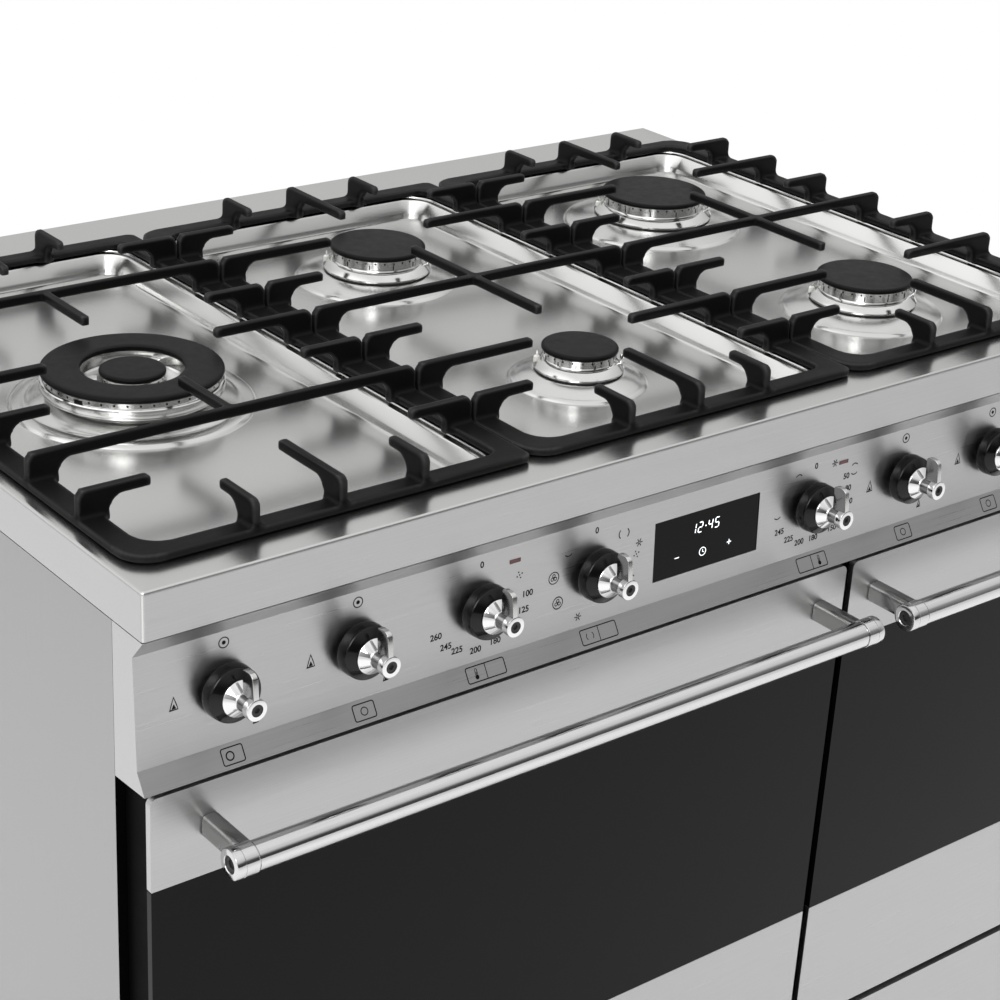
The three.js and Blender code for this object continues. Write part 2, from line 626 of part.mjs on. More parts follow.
// Pressed liner behind the glass, with the window and the slots for the hinge arms.
function doorLiner(unit) {
  const front = door.face + door.skin + fit;
  const x0 = unit.left + 2;
  const x1 = unit.right - 2;
  const z0 = doorBottom + 2;
  const z1 = doorTop - 2;
  const t = door.liner;
  const heel = door.heel;
  let body = prism([[front, z0], [doorBack - heel, z0], [doorBack, z0 + heel], [doorBack, z1], [front, z1]],
    'x', x0, x1);
  body = body.subtract(prism([[front - 1, z0 + t], [doorBack - heel - t / 2, z0 + t],
    [doorBack - t, z0 + heel + t / 2], [doorBack - t, z1 - t], [front - 1, z1 - t]], 'x', x0 + t, x1 - t));
  const rim = unit.name === 'main' ? windowRim : windowRim * 0.75;
  body = body.subtract(block(x0 + rim, x1 - rim, doorBack - 5, doorBack + 5, z0 + windowRim * 1.2, z1 - windowRim));
  hingeArms(unit).forEach((x) => {
    const half = armWidth / 2 + 1.2;
    body = body.subtract(block(x - half, x + half, pivot.y - 8, doorBack + 5, z0 - 5, pivot.z + 9));
  });
  return body.subtract(rodAlongX(pin + 0.5, x0 - 5, x1 + 5, pivot.y, pivot.z));
}

const hingeArms = (unit) => [unit.left + armInset, unit.right - armInset];

// A pin along the door's lower edge and the two arms that hold it to the front frame.
function hinge(unit) {
  const parts = [rodAlongX(pin, unit.left + 1, unit.right - 1, pivot.y, pivot.z)];
  hingeArms(unit).forEach((x) => {
    parts.push(block(x - armWidth / 2, x + armWidth / 2, pivot.y, frontFrame.set - fit,
      pivot.z - pin, pivot.z + pin));
  });
  return addAll(parts);
}

function doorHandle(unit) {
  const x0 = unit.handleLeft;
  const x1 = unit.handleRight;
  const y = -handle.standoff;
  const z = doorTop - handle.drop;
  const parts = [rodAlongX(handle.bar, x0 + 1, x1 - 1, y, z, facets.knob)];
  [[x0, 1], [x1, -1]].forEach(([end, way]) => {
    const ends = [end, end + way * handle.sleeveLength].sort((a, b) => a - b);
    parts.push(rodAlongX(handle.sleeve, ends[0], ends[1], y, z, facets.knob));
    const post = [handle.postInset, handle.postInset + handle.post].map((set) => end + way * set);
    post.sort((a, b) => a - b);
    parts.push(block(post[0], post[1], y, door.face - fit, z - handle.postHeight / 2, z + handle.postHeight / 2));
  });
  const sockets = [rodAlongX(handle.socket, x0 - 1, x0 + handle.socketDepth, y, z, 6),
    rodAlongX(handle.socket, x1 - handle.socketDepth, x1 + 1, y, z, 6)];
  return cutAll(addAll(parts), sockets);
}

// ---------------------------------------------------------------- casing
// Each side is one sheet with its front and back edges folded inwards.
function sidePanel(side) {
  const lip = 14;
  const outer = side * halfWidth;
  const wall = side * (halfWidth - sheet);
  const lipEnd = side * (halfWidth - lip);
  const y0 = panel.depth + fit;
  const y1 = cooker.depth;
  const outline = [[outer, y0], [outer, y1], [lipEnd, y1], [lipEnd, y1 - sheet], [wall, y1 - sheet],
    [wall, y0 + sheet], [lipEnd, y0 + sheet], [lipEnd, y0]];
  return prism(outline, 'z', base.bottom, skirtBottom - fit);
}

function backPanel() {
  const edge = halfWidth - sheet - fit;
  const y1 = cooker.depth - sheet - fit;
  const z0 = base.bottom + base.lip + fit;
  const sheetBack = block(-edge, edge, y1 - sheet, y1, z0, skirtBottom - fit);
  const cuts = [rodAlongY(gasRail.inletRadius + 4, y1 - 10, y1 + 10, halfWidth - gasRail.inletInset,
    knobHeight - 2)];
  const pitch = (cooker.width - 2 * vents.sideMargin - vents.length) / (vents.columns - 1);
  for (let column = 0; column < vents.columns; column += 1) {
    for (let row = 0; row < vents.rows; row += 1) {
      const x = -halfWidth + vents.sideMargin + column * pitch;
      const z = cooker.height - vents.drop - row * vents.rowPitch;
      cuts.push(block(x, x + vents.length, y1 - 10, y1 + 10, z, z + vents.height));
    }
  }
  return cutAll(sheetBack, cuts);
}

// Front frame with the mouths of both ovens and of the drawer.
function frontPlate() {
  const edge = halfWidth - sheet - fit;
  const y0 = frontFrame.set;
  const y1 = y0 + frontFrame.thickness;
  const top = panelBottom - 2 - fit;
  const cuts = units.map((unit) => block(unitCentre(unit) - unit.width / 2, unitCentre(unit) + unit.width / 2,
    y0 - 1, y1 + 1, ovenTop - oven.height, ovenTop));
  const gap = drawer.sideGap - 6;
  cuts.push(block(-edge + gap, edge - gap, y0 - 1, y1 + 1, drawerBottom - 5, drawerTop - 30));
  return cutAll(block(-edge, edge, y0, y1, base.bottom + base.wall + fit, top), cuts);
}

function baseTray() {
  const edge = halfWidth - sheet - fit;
  const y0 = frontFrame.set + frontFrame.thickness + fit;
  const y1 = cooker.depth - sheet - fit;
  const z0 = base.bottom;
  const z1 = z0 + base.lip;
  const w = base.wall;
  let body = block(-edge, edge, frontFrame.set, y1, z0, z0 + w);
  body = addAll([body, block(-edge, edge, y1 - w, y1, z0, z1), block(-edge, -edge + w, y0, y1, z0, z1),
    block(edge - w, edge, y0, y1, z0, z1)]);
  const railTop = drawerBottom + drawer.floorRise - fit;
  [-1, 1].forEach((side) => {
    const x = side * (halfWidth - base.railInset);
    const half = base.railWidth / 2;
    body = body.add(block(x - half, x + half, y0 + base.railFront, y1 - base.railBack, z0 + w / 2, railTop));
  });
  return body;
}

function footAt(x, y) {
  const profile = [[0, 0], [foot.radius - 2, 0], [foot.radius, 2], [foot.radius, foot.padHeight],
    [foot.radius - 4, foot.padHeight + 3], [foot.radius - 4, 70], [foot.stem, 70],
    [foot.stem, base.bottom - fit - foot.flangeHeight], [foot.flange, base.bottom - fit - foot.flangeHeight],
    [foot.flange, base.bottom - fit], [0, base.bottom - fit]];
  return turned(profile, facets.small).translate([x, y, 0]);
}

// ---------------------------------------------------------------- storage drawer
function drawerFront() {
  const outline = roundedRectangle(mainDoorLeft, sideDoorRight, drawerBottom, drawerTop,
    [door.corner, door.corner, door.corner, door.corner]);
  const solid = push(outline, 'y', -door.face - drawer.frontDepth, -door.face, 4);
  const t = drawer.wall;
  return solid.subtract(block(mainDoorLeft + t, sideDoorRight - t, door.face + t, door.face + drawer.frontDepth + 1,
    drawerBottom + t, drawerTop - t));
}

function drawerBox() {
  const edge = halfWidth - sheet - drawer.sideGap;
  const y0 = door.face + drawer.wall + fit;
  const y1 = y0 + drawer.boxDepth;
  const z0 = drawerBottom + drawer.floorRise;
  const z1 = drawerTop - drawer.headroom;
  const t = drawer.wall;
  return block(-edge, edge, y0, y1, z0, z1)
    .subtract(block(-edge + t, edge - t, y0 + t, y1 - t, z0 + t, z1 + 1));
}

// ---------------------------------------------------------------- assembly
place('side_panel_left', sidePanel(-1), steel);
place('side_panel_right', sidePanel(1), steel);
place('back_panel', backPanel(), galvanised);
place('front_frame', frontPlate(), enamel);
place('base_tray', baseTray(), galvanised);
[['left', -1], ['right', 1]].forEach(([side, way]) => {
  const x = way * (halfWidth - foot.inset);
  place(`foot_front_${side}`, footAt(x, frontFrame.set + foot.inset), steel);
  place(`foot_rear_${side}`, footAt(x, cooker.depth - foot.inset), steel);
});
place('hob_top', hobTop(), steel);
place('control_panel', controlPanel(), steel);
place('clock_display', clock(), blackGlass);
place('gas_rail', gasPipe(), brass);

burnerPlaces.forEach((spot) => {
  const top = cooker.height + spot.size.capTop;
  place(`burner_${spot.name}`, burnerBody(spot), aluminium);
  place(`burner_cap_${spot.name}`, cap(spot.size.cap, top).translate([spot.x, spot.y, 0]), enamel);
});
place('burner_wok', wokBody(), aluminium);
place('burner_cap_wok_ring', wokRingCap(), enamel);
place('burner_cap_wok_centre',
  cap(wok.centreCap, cooker.height + wok.capTop - wok.centreDrop).translate([wokPlace.x, wokPlace.y, 0]),
  enamel);
['left', 'centre', 'right'].forEach((side, index) => {
  place(`pan_support_${side}`, panSupport(index), castIron);
});

knobCentres.forEach((x, index) => {
  const name = knobNames[index];
  if (isGas(name)) {
    const reach = valveFront - faceAt(knobHeight) - knob.push - 2 * fit;
    place(`knob_collar_${name}`, atPanel(collar(), x, knobHeight), blackPlastic);
    place(`knob_lever_${name}`, atPanel(lever(reach), x, knobHeight), chrome);
  } else {
    place(`knob_${name}`, atPanel(ovenKnob(), x, knobHeight), chrome);
  }
});
place('oven_switches', ovenSwitches(), galvanised);

units.forEach((unit) => {
  const glassTop = doorTop - door.topTrim;
  const glassBottom = doorBottom + door.bottomTrim;
  place(`${unit.name}_oven_cavity`, cavity(unit), ovenEnamel);
  place(`${unit.name}_oven_rack`, ovenRack(unit), chrome);
  place(`${unit.name}_door_top_trim`, frontSkin(unit, glassTop, doorTop, 0.5, door.corner), steel);
  place(`${unit.name}_door_glass`, frontSkin(unit, glassBottom + fit, glassTop - fit, 0.5, 0.5), blackGlass);
  place(`${unit.name}_door_bottom_trim`, frontSkin(unit, doorBottom, glassBottom, door.corner, 0.5), steel);
  place(`${unit.name}_door_liner`, doorLiner(unit), enamel);
  place(`${unit.name}_door_hinge`, hinge(unit), galvanised);
  place(`${unit.name}_door_handle`, doorHandle(unit), steel);
});
place('main_oven_fan', ovenFan(), galvanised);
place('drawer_front', drawerFront(), steel);
place('drawer_box', drawerBox(), galvanised);

// The origin goes to the middle of the whole, between the handles' front and the gas inlet's end.
const frontReach = handle.standoff + handle.sleeve;
const backReach = cooker.depth + gasRail.inletStub;
assembly.position.set(0, (frontReach - backReach) / 2, 0);

export default assembly;
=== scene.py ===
import math

import bmesh
import bpy
from mathutils import Matrix, Vector, geometry


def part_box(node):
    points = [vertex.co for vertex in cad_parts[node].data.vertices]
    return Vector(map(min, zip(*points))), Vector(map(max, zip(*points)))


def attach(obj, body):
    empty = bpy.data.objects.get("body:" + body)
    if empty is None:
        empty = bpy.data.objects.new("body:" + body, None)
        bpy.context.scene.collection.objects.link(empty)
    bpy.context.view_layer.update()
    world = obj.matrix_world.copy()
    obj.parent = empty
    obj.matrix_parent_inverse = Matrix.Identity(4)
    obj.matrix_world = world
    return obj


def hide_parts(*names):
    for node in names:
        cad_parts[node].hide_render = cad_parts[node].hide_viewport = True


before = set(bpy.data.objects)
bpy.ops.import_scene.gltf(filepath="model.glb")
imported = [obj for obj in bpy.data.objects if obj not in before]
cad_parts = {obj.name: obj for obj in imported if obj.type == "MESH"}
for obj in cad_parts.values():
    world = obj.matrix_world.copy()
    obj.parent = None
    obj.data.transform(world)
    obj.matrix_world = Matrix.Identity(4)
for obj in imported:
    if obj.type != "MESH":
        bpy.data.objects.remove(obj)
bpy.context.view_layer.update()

# Lengths are written in millimetres: x from the middle, y from the worktop's front edge, z from the floor.
FRONT_SHIFT = -280.35
TO_FRAME = Matrix.Translation((0, FRONT_SHIFT / 1000, 0)) @ Matrix.Scale(0.001, 4)
WIDTH, DEPTH, TOP = 900.0, 600.0, 900.0
PANEL_TOP, PANEL_SET_BACK = 853.5, 12.0
PANEL_RISE, PANEL_LEAN = 74.5, 3.5
FACE_TILT = math.atan2(PANEL_LEAN, PANEL_RISE)


def face_y(z):
    """How far the control panel's main face lies behind the worktop's front edge at height z."""
    return PANEL_SET_BACK - PANEL_LEAN * (PANEL_TOP - z) / PANEL_RISE


# ---- camera
CAMERA_PLACE = (-1019.3, -1004.2, 1493.6)
CAMERA_YAW, CAMERA_PITCH, CAMERA_ROLL = (math.radians(a) for a in (-39.382, 24.709, -3.278))


def add(name, data):
    """An object of the scene's own."""
    obj = bpy.data.objects.new(name, data)
    bpy.context.scene.collection.objects.link(obj)
    return obj


def build_camera():
    yaw, pitch, roll = CAMERA_YAW, CAMERA_PITCH, CAMERA_ROLL
    ahead = Vector((-math.sin(yaw) * math.cos(pitch), math.cos(yaw) * math.cos(pitch), -math.sin(pitch)))
    level = Vector((math.cos(yaw), math.sin(yaw), 0))
    under = ahead.cross(level)
    right = math.cos(roll) * level + math.sin(roll) * under
    down = -math.sin(roll) * level + math.cos(roll) * under
    data = bpy.data.cameras.new("camera")
    data.lens = 82.5
    data.sensor_width = 36
    data.clip_start = 0.05
    data.clip_end = 50
    camera = add("camera", data)
    turn = Matrix((right, -down, -ahead)).transposed().to_4x4()
    camera.matrix_world = Matrix.Translation(TO_FRAME @ Vector(CAMERA_PLACE)) @ turn
    bpy.context.scene.camera = camera


build_camera()


# ---- materials
class Graph:
    """The nodes of a material or of the world."""

    def __init__(self, owner):
        owner.use_nodes = True
        self.tree = owner.node_tree

    def node(self, kind, **values):
        made = self.tree.nodes.new("ShaderNode" + kind)
        for key, value in values.items():
            if key in made.inputs:
                made.inputs[key].default_value = value
            else:
                setattr(made, key, value)
        return made

    def link(self, a, out, b, into):
        self.tree.links.new(a.outputs[out], b.inputs[into])

    def spread(self, source, low, high, out="Fac", from_low=0.3, from_high=0.7):
        """Maps a range of one value to another range."""
        made = self.node("MapRange", **{"From Min": from_low, "From Max": from_high,
                                        "To Min": low, "To Max": high})
        self.link(source, out, made, "Value")
        return made

    def combine(self, operation, a, out_a, b, out_b):
        made = self.node("Math", operation=operation)
        self.link(a, out_a, made, 0)
        self.link(b, out_b, made, 1)
        return made

    def mix(self, share, first, second, output):
        """Shows the first shader, and the second one by the share."""
        made = self.node("MixShader")
        self.link(share[0], share[1], made, "Fac")
        self.link(first, 0, made, 1)
        self.link(second, 0, made, 2)
        self.link(made, 0, self.tree.nodes[output], "Surface")


class Shader(Graph):
    """A Principled material with helpers for chains of procedural nodes."""

    def __init__(self, name, color, roughness, metallic=0.0, coat=0.0, gleam=0.5):
        self.material = bpy.data.materials.new(name)
        super().__init__(self.material)
        self.shader = self.tree.nodes["Principled BSDF"]
        self.put("Base Color", (*color, 1))
        self.put("Roughness", roughness)
        self.put("Metallic", metallic)
        self.put("Coat Weight", coat)
        self.put("IOR", 1.5)
        self.put("Specular IOR Level", gleam)
        self.material.diffuse_color = (*color, 1)

    def put(self, socket, value):
        self.shader.inputs[socket].default_value = value

    def noise(self, scale, stretch=(1, 1, 1), detail=4.0):
        """Noise in the object's own metres, squeezed along some axes to make a grain."""
        where = self.node("TexCoord")
        mapping = self.node("Mapping", Scale=stretch)
        made = self.node("TexNoise", Scale=scale, Detail=detail, Roughness=0.6)
        self.link(where, "Object", mapping, "Vector")
        self.link(mapping, "Vector", made, "Vector")
        return made

    def rough(self, source, low, high):
        self.link(self.spread(source, low, high), "Result", self.shader, "Roughness")

    def tint(self, source, dark, light):
        ramp = self.node("ValToRGB")
        for stop, place, color in zip(ramp.color_ramp.elements, (0.3, 0.7), (dark, light)):
            stop.position = place
            stop.color = (*color, 1)
        self.link(source, "Fac", ramp, "Fac")
        self.link(ramp, "Color", self.shader, "Base Color")

    def bump(self, source, strength, distance):
        made = self.node("Bump", Strength=strength, Distance=distance)
        self.link(source, "Fac", made, "Height")
        self.link(made, "Normal", self.shader, "Normal")


def brushed(name, along, shade, roughness=(0.27, 0.40), bump=0.05, streak=0.75):
    """Steel with a fine grain along one axis, which spreads reflections across the grain."""
    made = Shader(name, (shade, shade, shade * 0.99), sum(roughness) / 2, metallic=1.0)
    made.put("Anisotropic", streak)
    across = made.node("CombineXYZ", X=0.0, Y=1.0, Z=1.0 if along == "x" else 0.0)
    made.link(across, "Vector", made.shader, "Tangent")
    stretch = [1.0, 1.0, 1.0]
    stretch["xyz".index(along)] = 0.008
    grain = made.noise(1300, stretch, detail=5)
    made.rough(grain, *roughness)
    made.tint(grain, (shade * 0.95,) * 3, (shade * 1.05,) * 3)
    made.bump(grain, bump, 0.00003)
    return made.material


def cast(name):
    """Matt enamelled iron: fine orange-peel, with a painted highlight that makes the edges a little
    brighter.
    """
    made = Shader(name, (0.005, 0.005, 0.005), 0.5, gleam=0.06)
    fine = made.noise(900, detail=3)
    made.bump(fine, 0.3, 0.0003)
    made.rough(made.noise(60), 0.32, 0.44)
    # Painted highlight: the base colour turns lighter where the surface curves sharply, along the edges.
    shape = made.node("NewGeometry")
    painted_edge_highlight = made.spread(shape, 0.0, 1.0, "Pointiness", 0.51, 0.57)
    mix = made.node("Mix", data_type="RGBA")
    mix.inputs["A"].default_value = (0.005, 0.005, 0.005, 1)
    mix.inputs["B"].default_value = (0.045, 0.045, 0.045, 1)
    made.link(painted_edge_highlight, "Result", mix, "Factor")
    made.link(mix, "Result", made.shader, "Base Color")
    return made.material


def plain(name, color, rough_low, rough_high, metallic=0.0, scale=80, bump=0.03, coat=0.0, shade=0.85,
          gleam=0.5):
    """A smooth finish with faint smudges in its gloss and colour; scale is how fine they are."""
    made = Shader(name, color, (rough_low + rough_high) / 2, metallic, coat, gleam=gleam)
    clouds = made.noise(scale)
    made.rough(clouds, rough_low, rough_high)
    made.tint(clouds, tuple(c * shade for c in color), color)
    if bump:
        made.bump(made.noise(scale * 20, detail=2), bump, 0.0001)
    return made.material


def glow(name, color, strength):
    """A face that gives light."""
    made = Shader(name, color, 0.4)
    made.put("Emission Color", (*color, 1))
    made.put("Emission Strength", strength)
    made.rough(made.noise(400), 0.35, 0.45)
    return made.material


steel_x = brushed("steel_grain_across", "x", 0.5)
# Upright-grained steel for the side panels, set darker than the front's: the darker sides are painted shade
# standing in for a darker reflection.
steel_z = brushed("steel_grain_upright", "z", 0.38)
steel_pressed = plain("steel_pressed", (0.68, 0.68, 0.67), 0.22, 0.24, 1.0, 12, 0.0, shade=0.985)
steel_bar = brushed("steel_bar", "x", 0.66, (0.1, 0.14), 0.01, 0.0)
steel_round = plain("steel_turned", (0.66, 0.66, 0.65), 0.16, 0.22, 1.0, 60, 0.0, shade=0.96)
# The turned steel at about half its brightness: painted shade for the handle brackets.
steel_turned_painted_shade = plain("steel_turned_painted_shade", (0.34, 0.34, 0.335), 0.2, 0.28, 1.0, 60, 0.0, shade=0.96)
chrome = plain("chrome_bright", (0.82, 0.82, 0.82), 0.03, 0.09, 1.0, 60, 0.01, shade=0.97)
# A darker copy of the bright chrome: painted shade for the knobs' stems and blade flanks.
chrome_painted_shade = plain("chrome_with_painted_shade", (0.3, 0.3, 0.3), 0.08, 0.14, 1.0, 60, 0.01, shade=0.97)
burner_metal = plain("burner_metal", (0.72, 0.72, 0.71), 0.13, 0.18, 1.0, 90, 0.01, shade=0.95)
iron = cast("iron_enamelled")
cap_black = plain("cap_enamel", (0.006, 0.006, 0.006), 0.34, 0.44, scale=140, bump=0.1, gleam=0.075)
gloss_black = plain("gloss_black", (0.003, 0.003, 0.003), 0.1, 0.16, scale=60, gleam=0.3)
liner_black = plain("liner_black", (0.002, 0.002, 0.002), 0.4, 0.5, scale=60, gleam=0.015)
matt_black = plain("matt_black", (0.02, 0.02, 0.02), 0.5, 0.65, scale=90, bump=0.1)
glass_black = plain("glass_black", (0.002, 0.002, 0.0021), 0.03, 0.06, scale=30, bump=0.0, gleam=0.11)
oven_enamel = plain("oven_enamel", (0.03, 0.032, 0.038), 0.2, 0.35, scale=200, bump=0.08)
zinc = plain("zinc_sheet", (0.55, 0.56, 0.57), 0.35, 0.55, 0.9, 70, 0.05, shade=0.8)
brass = plain("brass_plain", (0.62, 0.47, 0.25), 0.25, 0.4, 1.0, 120)
# One black for the printed marks on the panel and for painted shade inside the burners' ports, slits and the
# wok's window.
ink_and_hole_shade = plain("ink_and_painted_hole_shade", (0.006, 0.006, 0.006), 0.5, 0.6, scale=300, gleam=0.1)
lamp_red = plain("lamp_red", (0.09, 0.012, 0.012), 0.15, 0.25, scale=300, coat=0.4)
white_glow = glow("display_digits", (0.85, 0.9, 0.92), 1.6)
ceramic = plain("ceramic_white", (0.75, 0.74, 0.7), 0.3, 0.45, scale=200)
rubber = plain("seal_grey", (0.06, 0.06, 0.065), 0.6, 0.75, scale=300, bump=0.2)
lamp_glass = plain("lamp_glass", (0.6, 0.6, 0.55), 0.05, 0.12, scale=60, coat=0.5)


# ---- making pieces
def piece(name, shape, material, body="casing", replaces=(), smooth=35, bevel=0.0):
    """A shape in millimetres becomes a piece that rides on a body."""
    verts, faces = shape
    mesh = bpy.data.meshes.new(name)
    mesh.from_pydata([TO_FRAME @ Vector(v) for v in verts], [], faces)
    mesh.update()
    obj = add(name, mesh)
    mesh.materials.append(material)
    tidy(mesh, smooth)
    if bevel:
        add_bevel(obj, bevel)
    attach(obj, body)
    if replaces:
        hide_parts(*replaces)
    return obj


def tidy(mesh, smooth):
    """Faces point outwards, and edges sharper than the angle stay sharp."""
    work = bmesh.new()
    work.from_mesh(mesh)
    bmesh.ops.remove_doubles(work, verts=work.verts, dist=1e-6)
    bmesh.ops.recalc_face_normals(work, faces=work.faces)
    for face in work.faces:
        face.smooth = smooth > 0
    for edge in work.edges:
        if len(edge.link_faces) == 2:
            edge.smooth = edge.calc_face_angle(0) < math.radians(smooth)
    work.to_mesh(mesh)
    work.free()


def add_bevel(obj, width, segments=3):
    """Rounds the sharp edges by a width in millimetres."""
    made = obj.modifiers.new("edges", "BEVEL")
    made.width = width / 1000
    made.segments = segments
    made.limit_method = "ANGLE"
    made.angle_limit = math.radians(40)
    made.harden_normals = True


def merge(*parts):
    """Several shapes, solid or flat, as one."""
    verts, faces = [], []
    for part_verts, part_faces in parts:
        start = len(verts)
        verts += [tuple(v) for v in part_verts]
        faces += [tuple(i + start for i in face) for face in part_faces]
    return verts, faces


def moved(shape, matrix):
    verts, faces = shape
    return [tuple(matrix @ Vector(v)) for v in verts], faces


def shift(shape, x=0.0, y=0.0, z=0.0):
    return moved(shape, Matrix.Translation((x, y, z)))


def around(shape, angle, radius, x, y, z):
    """Moves a shape outwards along X, turns it about Z by degrees and puts it at a place."""
    turn = Matrix.Rotation(math.radians(angle), 4, "Z")
    return shift(moved(shift(shape, radius), turn), x, y, z)


def turns(n, start=0.0):
    """Angles of n directions, evenly spaced; start shifts them by a share of one step."""
    return [2 * math.pi * (i + start) / n for i in range(n)]


def polar(radius, angle, x=0.0, y=0.0):
    """The point at a distance and an angle from a centre."""
    return x + radius * math.cos(angle), y + radius * math.sin(angle)


def band(a, b, n):
    """Faces between two rings of n points, whose numbers start at a and b."""
    return [(a + i, a + (i + 1) % n, b + (i + 1) % n, b + i) for i in range(n)]


def ends(total, n):
    """Faces that close the first and the last ring of n points."""
    return [tuple(range(n)), tuple(range(total - 1, total - n - 1, -1))]


def walk(points, closed):
    """Each point of a path with the one before and the one after it."""
    n = len(points)
    for i, p in enumerate(points):
        yield points[i - 1] if i or closed else p, p, points[(i + 1) % n] if i < n - 1 or closed else p


def box(x0, x1, y0, y1, z0, z1):
    verts = [(x, y, z) for x in (x0, x1) for y in (y0, y1) for z in (z0, z1)]
    faces = [(0, 1, 3, 2), (4, 6, 7, 5), (0, 4, 5, 1), (2, 3, 7, 6), (0, 2, 6, 4), (1, 5, 7, 3)]
    return verts, faces


def lathe(profile, segments=64, radius_at=None):
    """Turns (radius, height) points about Z; radius_at(i, j, r) varies segment i's point j."""
    verts, faces = [], []
    count = len(profile)
    for i, angle in enumerate(turns(segments)):
        for j, (r, z) in enumerate(profile):
            radius = radius_at(i, j, r) if radius_at else r
            verts.append((*polar(radius, angle), z))
    for i in range(segments):
        for j in range(count - 1):
            a, b = i * count + j, ((i + 1) % segments) * count + j
            faces.append((a, b, b + 1, a + 1))
    return verts, faces


def hex_bore(first, segments=60):
    """For lathe: from its point number first on, the points lie on a six-sided bore."""
    def radius_at(i, j, r):
        if j < first:
            return r
        return r / math.cos(math.radians(i * 360 / segments % 60 - 30))
    return radius_at


def to_x(shape):
    """Turns a shape whose axis is Z so that its axis is X."""
    return moved(shape, Matrix(((0, 0, 1, 0), (1, 0, 0, 0), (0, 1, 0, 0), (0, 0, 0, 1))))


def extruded(points, axis, a, b):
    """A closed outline pushed along an axis: the outline's two values are the other two axes in order."""
    verts = []
    for depth in (a, b):
        for u, v in points:
            verts.append({"x": (depth, u, v), "y": (u, depth, v), "z": (u, v, depth)}[axis])
    n = len(points)
    return verts, ends(2 * n, n) + band(0, n, n)


def rounded(x0, x1, y0, y1, radii, steps=8):
    """Outline of a rectangle with rounded corners: lower left, lower right, upper right, upper left."""
    centres = [(x0, y0, 1, 1, 180), (x1, y0, -1, 1, 270), (x1, y1, -1, -1, 0), (x0, y1, 1, -1, 90)]
    points = []
    for (x, y, sx, sy, start), r in zip(centres, radii):
        for k in range(steps + 1):
            points.append(polar(r, math.radians(start + 90 * k / steps), x + sx * r, y + sy * r))
    return points


def on_panel_matrix(x, z):
    return Matrix.Translation((x, face_y(z), z)) @ Matrix.Rotation(math.pi / 2 - FACE_TILT, 4, "X")


def on_panel(shape, x, z):
    """Places a shape drawn with Z away from the control panel's face and Y up."""
    return moved(shape, on_panel_matrix(x, z))


def second_finish(obj, material, test):
    """Gives the faces for which a test holds another material."""
    obj.data.materials.append(material)
    for face in obj.data.polygons:
        if test(face):
            face.material_index = 1


# ---- hob
SUPPORT_PITCH, SUPPORT_MIDDLE, SUPPORT_WIDTH = 294, 283, 293.7
SUPPORT_FRONT, SUPPORT_BACK = 42, 524
SUPPORT_LEFT = [SUPPORT_PITCH * (i - 1.5) for i in range(3)]
PAN_DEPTH, BOSS_RISE = 17, 8
PAN_FLOOR = TOP - PAN_DEPTH
BURNER_SET = 126
FRONT_ROW, REAR_ROW = SUPPORT_MIDDLE - BURNER_SET, SUPPORT_MIDDLE + BURNER_SET
# cap radius, flange radius, bead radius, height of the cap's top above the worktop
SMALL, MEDIUM, LARGE = (28, 33, 50, 10), (38, 43, 64, 12), (45, 51, 76, 12)
BURNERS = {
    "front_centre": (0, FRONT_ROW, *SMALL),
    "rear_centre": (0, REAR_ROW, *MEDIUM),
    "front_right": (SUPPORT_PITCH, FRONT_ROW, *MEDIUM),
    "rear_right": (SUPPORT_PITCH, REAR_ROW, *LARGE),
}
WOK_X, WOK_Y = -SUPPORT_PITCH, SUPPORT_MIDDLE
WOK_BEAD, WOK_SEAT, WOK_CUP = 84, 55, 30
CUP_SHARE = 0.55


def raised(profile, base=TOP):
    """A profile whose heights count from a base height."""
    return [(reach, base + height) for reach, height in profile]


class Sheet:
    """A thin pressed sheet, put together from closed loops that are bridged or filled."""

    def __init__(self):
        self.verts, self.faces = [], []

    def loop(self, points, z):
        start = len(self.verts)
        self.verts += [(x, y, z) for x, y in points]
        return list(range(start, len(self.verts)))

    def skirt(self, outline, steps, last=None):
        """Bridged loops of one outline, each given as (inset, z); returns the last one."""
        for inset, z in steps:
            ring = self.loop(outline(inset), z)
            if last:
                self.faces += band(last[0], ring[0], len(ring))
            last = ring
        return last

    def fill(self, outer, holes):
        """A flat area inside the outer loop and outside the holes."""
        rings = [outer, *holes]
        index = [i for ring in rings for i in ring]
        flat = [Vector(self.verts[i][:2]) for i in index]
        edges, start = [], 0
        for ring in rings:
            n = len(ring)
            edges += [(start + i, start + (i + 1) % n) for i in range(n)]
            start += n
        _, _, made, origin, _, _ = geometry.delaunay_2d_cdt(flat, edges, [], 0, 1e-7)
        shapes = [[self.verts[i][:2] for i in ring] for ring in rings]
        for face in made:
            corners = [origin[i][0] for i in face]
            middle = sum((flat[i] for i in corners), Vector((0, 0))) / len(corners)
            if inside(middle, shapes[0]) and not any(inside(middle, s) for s in shapes[1:]):
                self.faces.append(tuple(index[i] for i in corners))


def inside(point, outline):
    """Whether a point lies inside an outline, by counting the edges to its right."""
    x, y = point
    found = False
    n = len(outline)
    for i in range(n):
        (x0, y0), (x1, y1) = outline[i], outline[(i + 1) % n]
        if (y0 > y) != (y1 > y) and x < x0 + (y - y0) * (x1 - x0) / (y1 - y0):
            found = not found
    return found


def circle(x, y, segments=96):
    """Outline of a circle, by its radius."""
    def outline(radius):
        return [polar(radius, angle, x, y) for angle in turns(segments)]
    return outline


def grown(x0, x1, y0, y1, radius, steps=8):
    """Outline of a rounded rectangle that moves inwards by an inset."""
    def outline(inset):
        r = max(radius - inset, 0.4)
        return rounded(x0 + inset, x1 - inset, y0 + inset, y1 - inset, (r,) * 4, steps)
    return outline


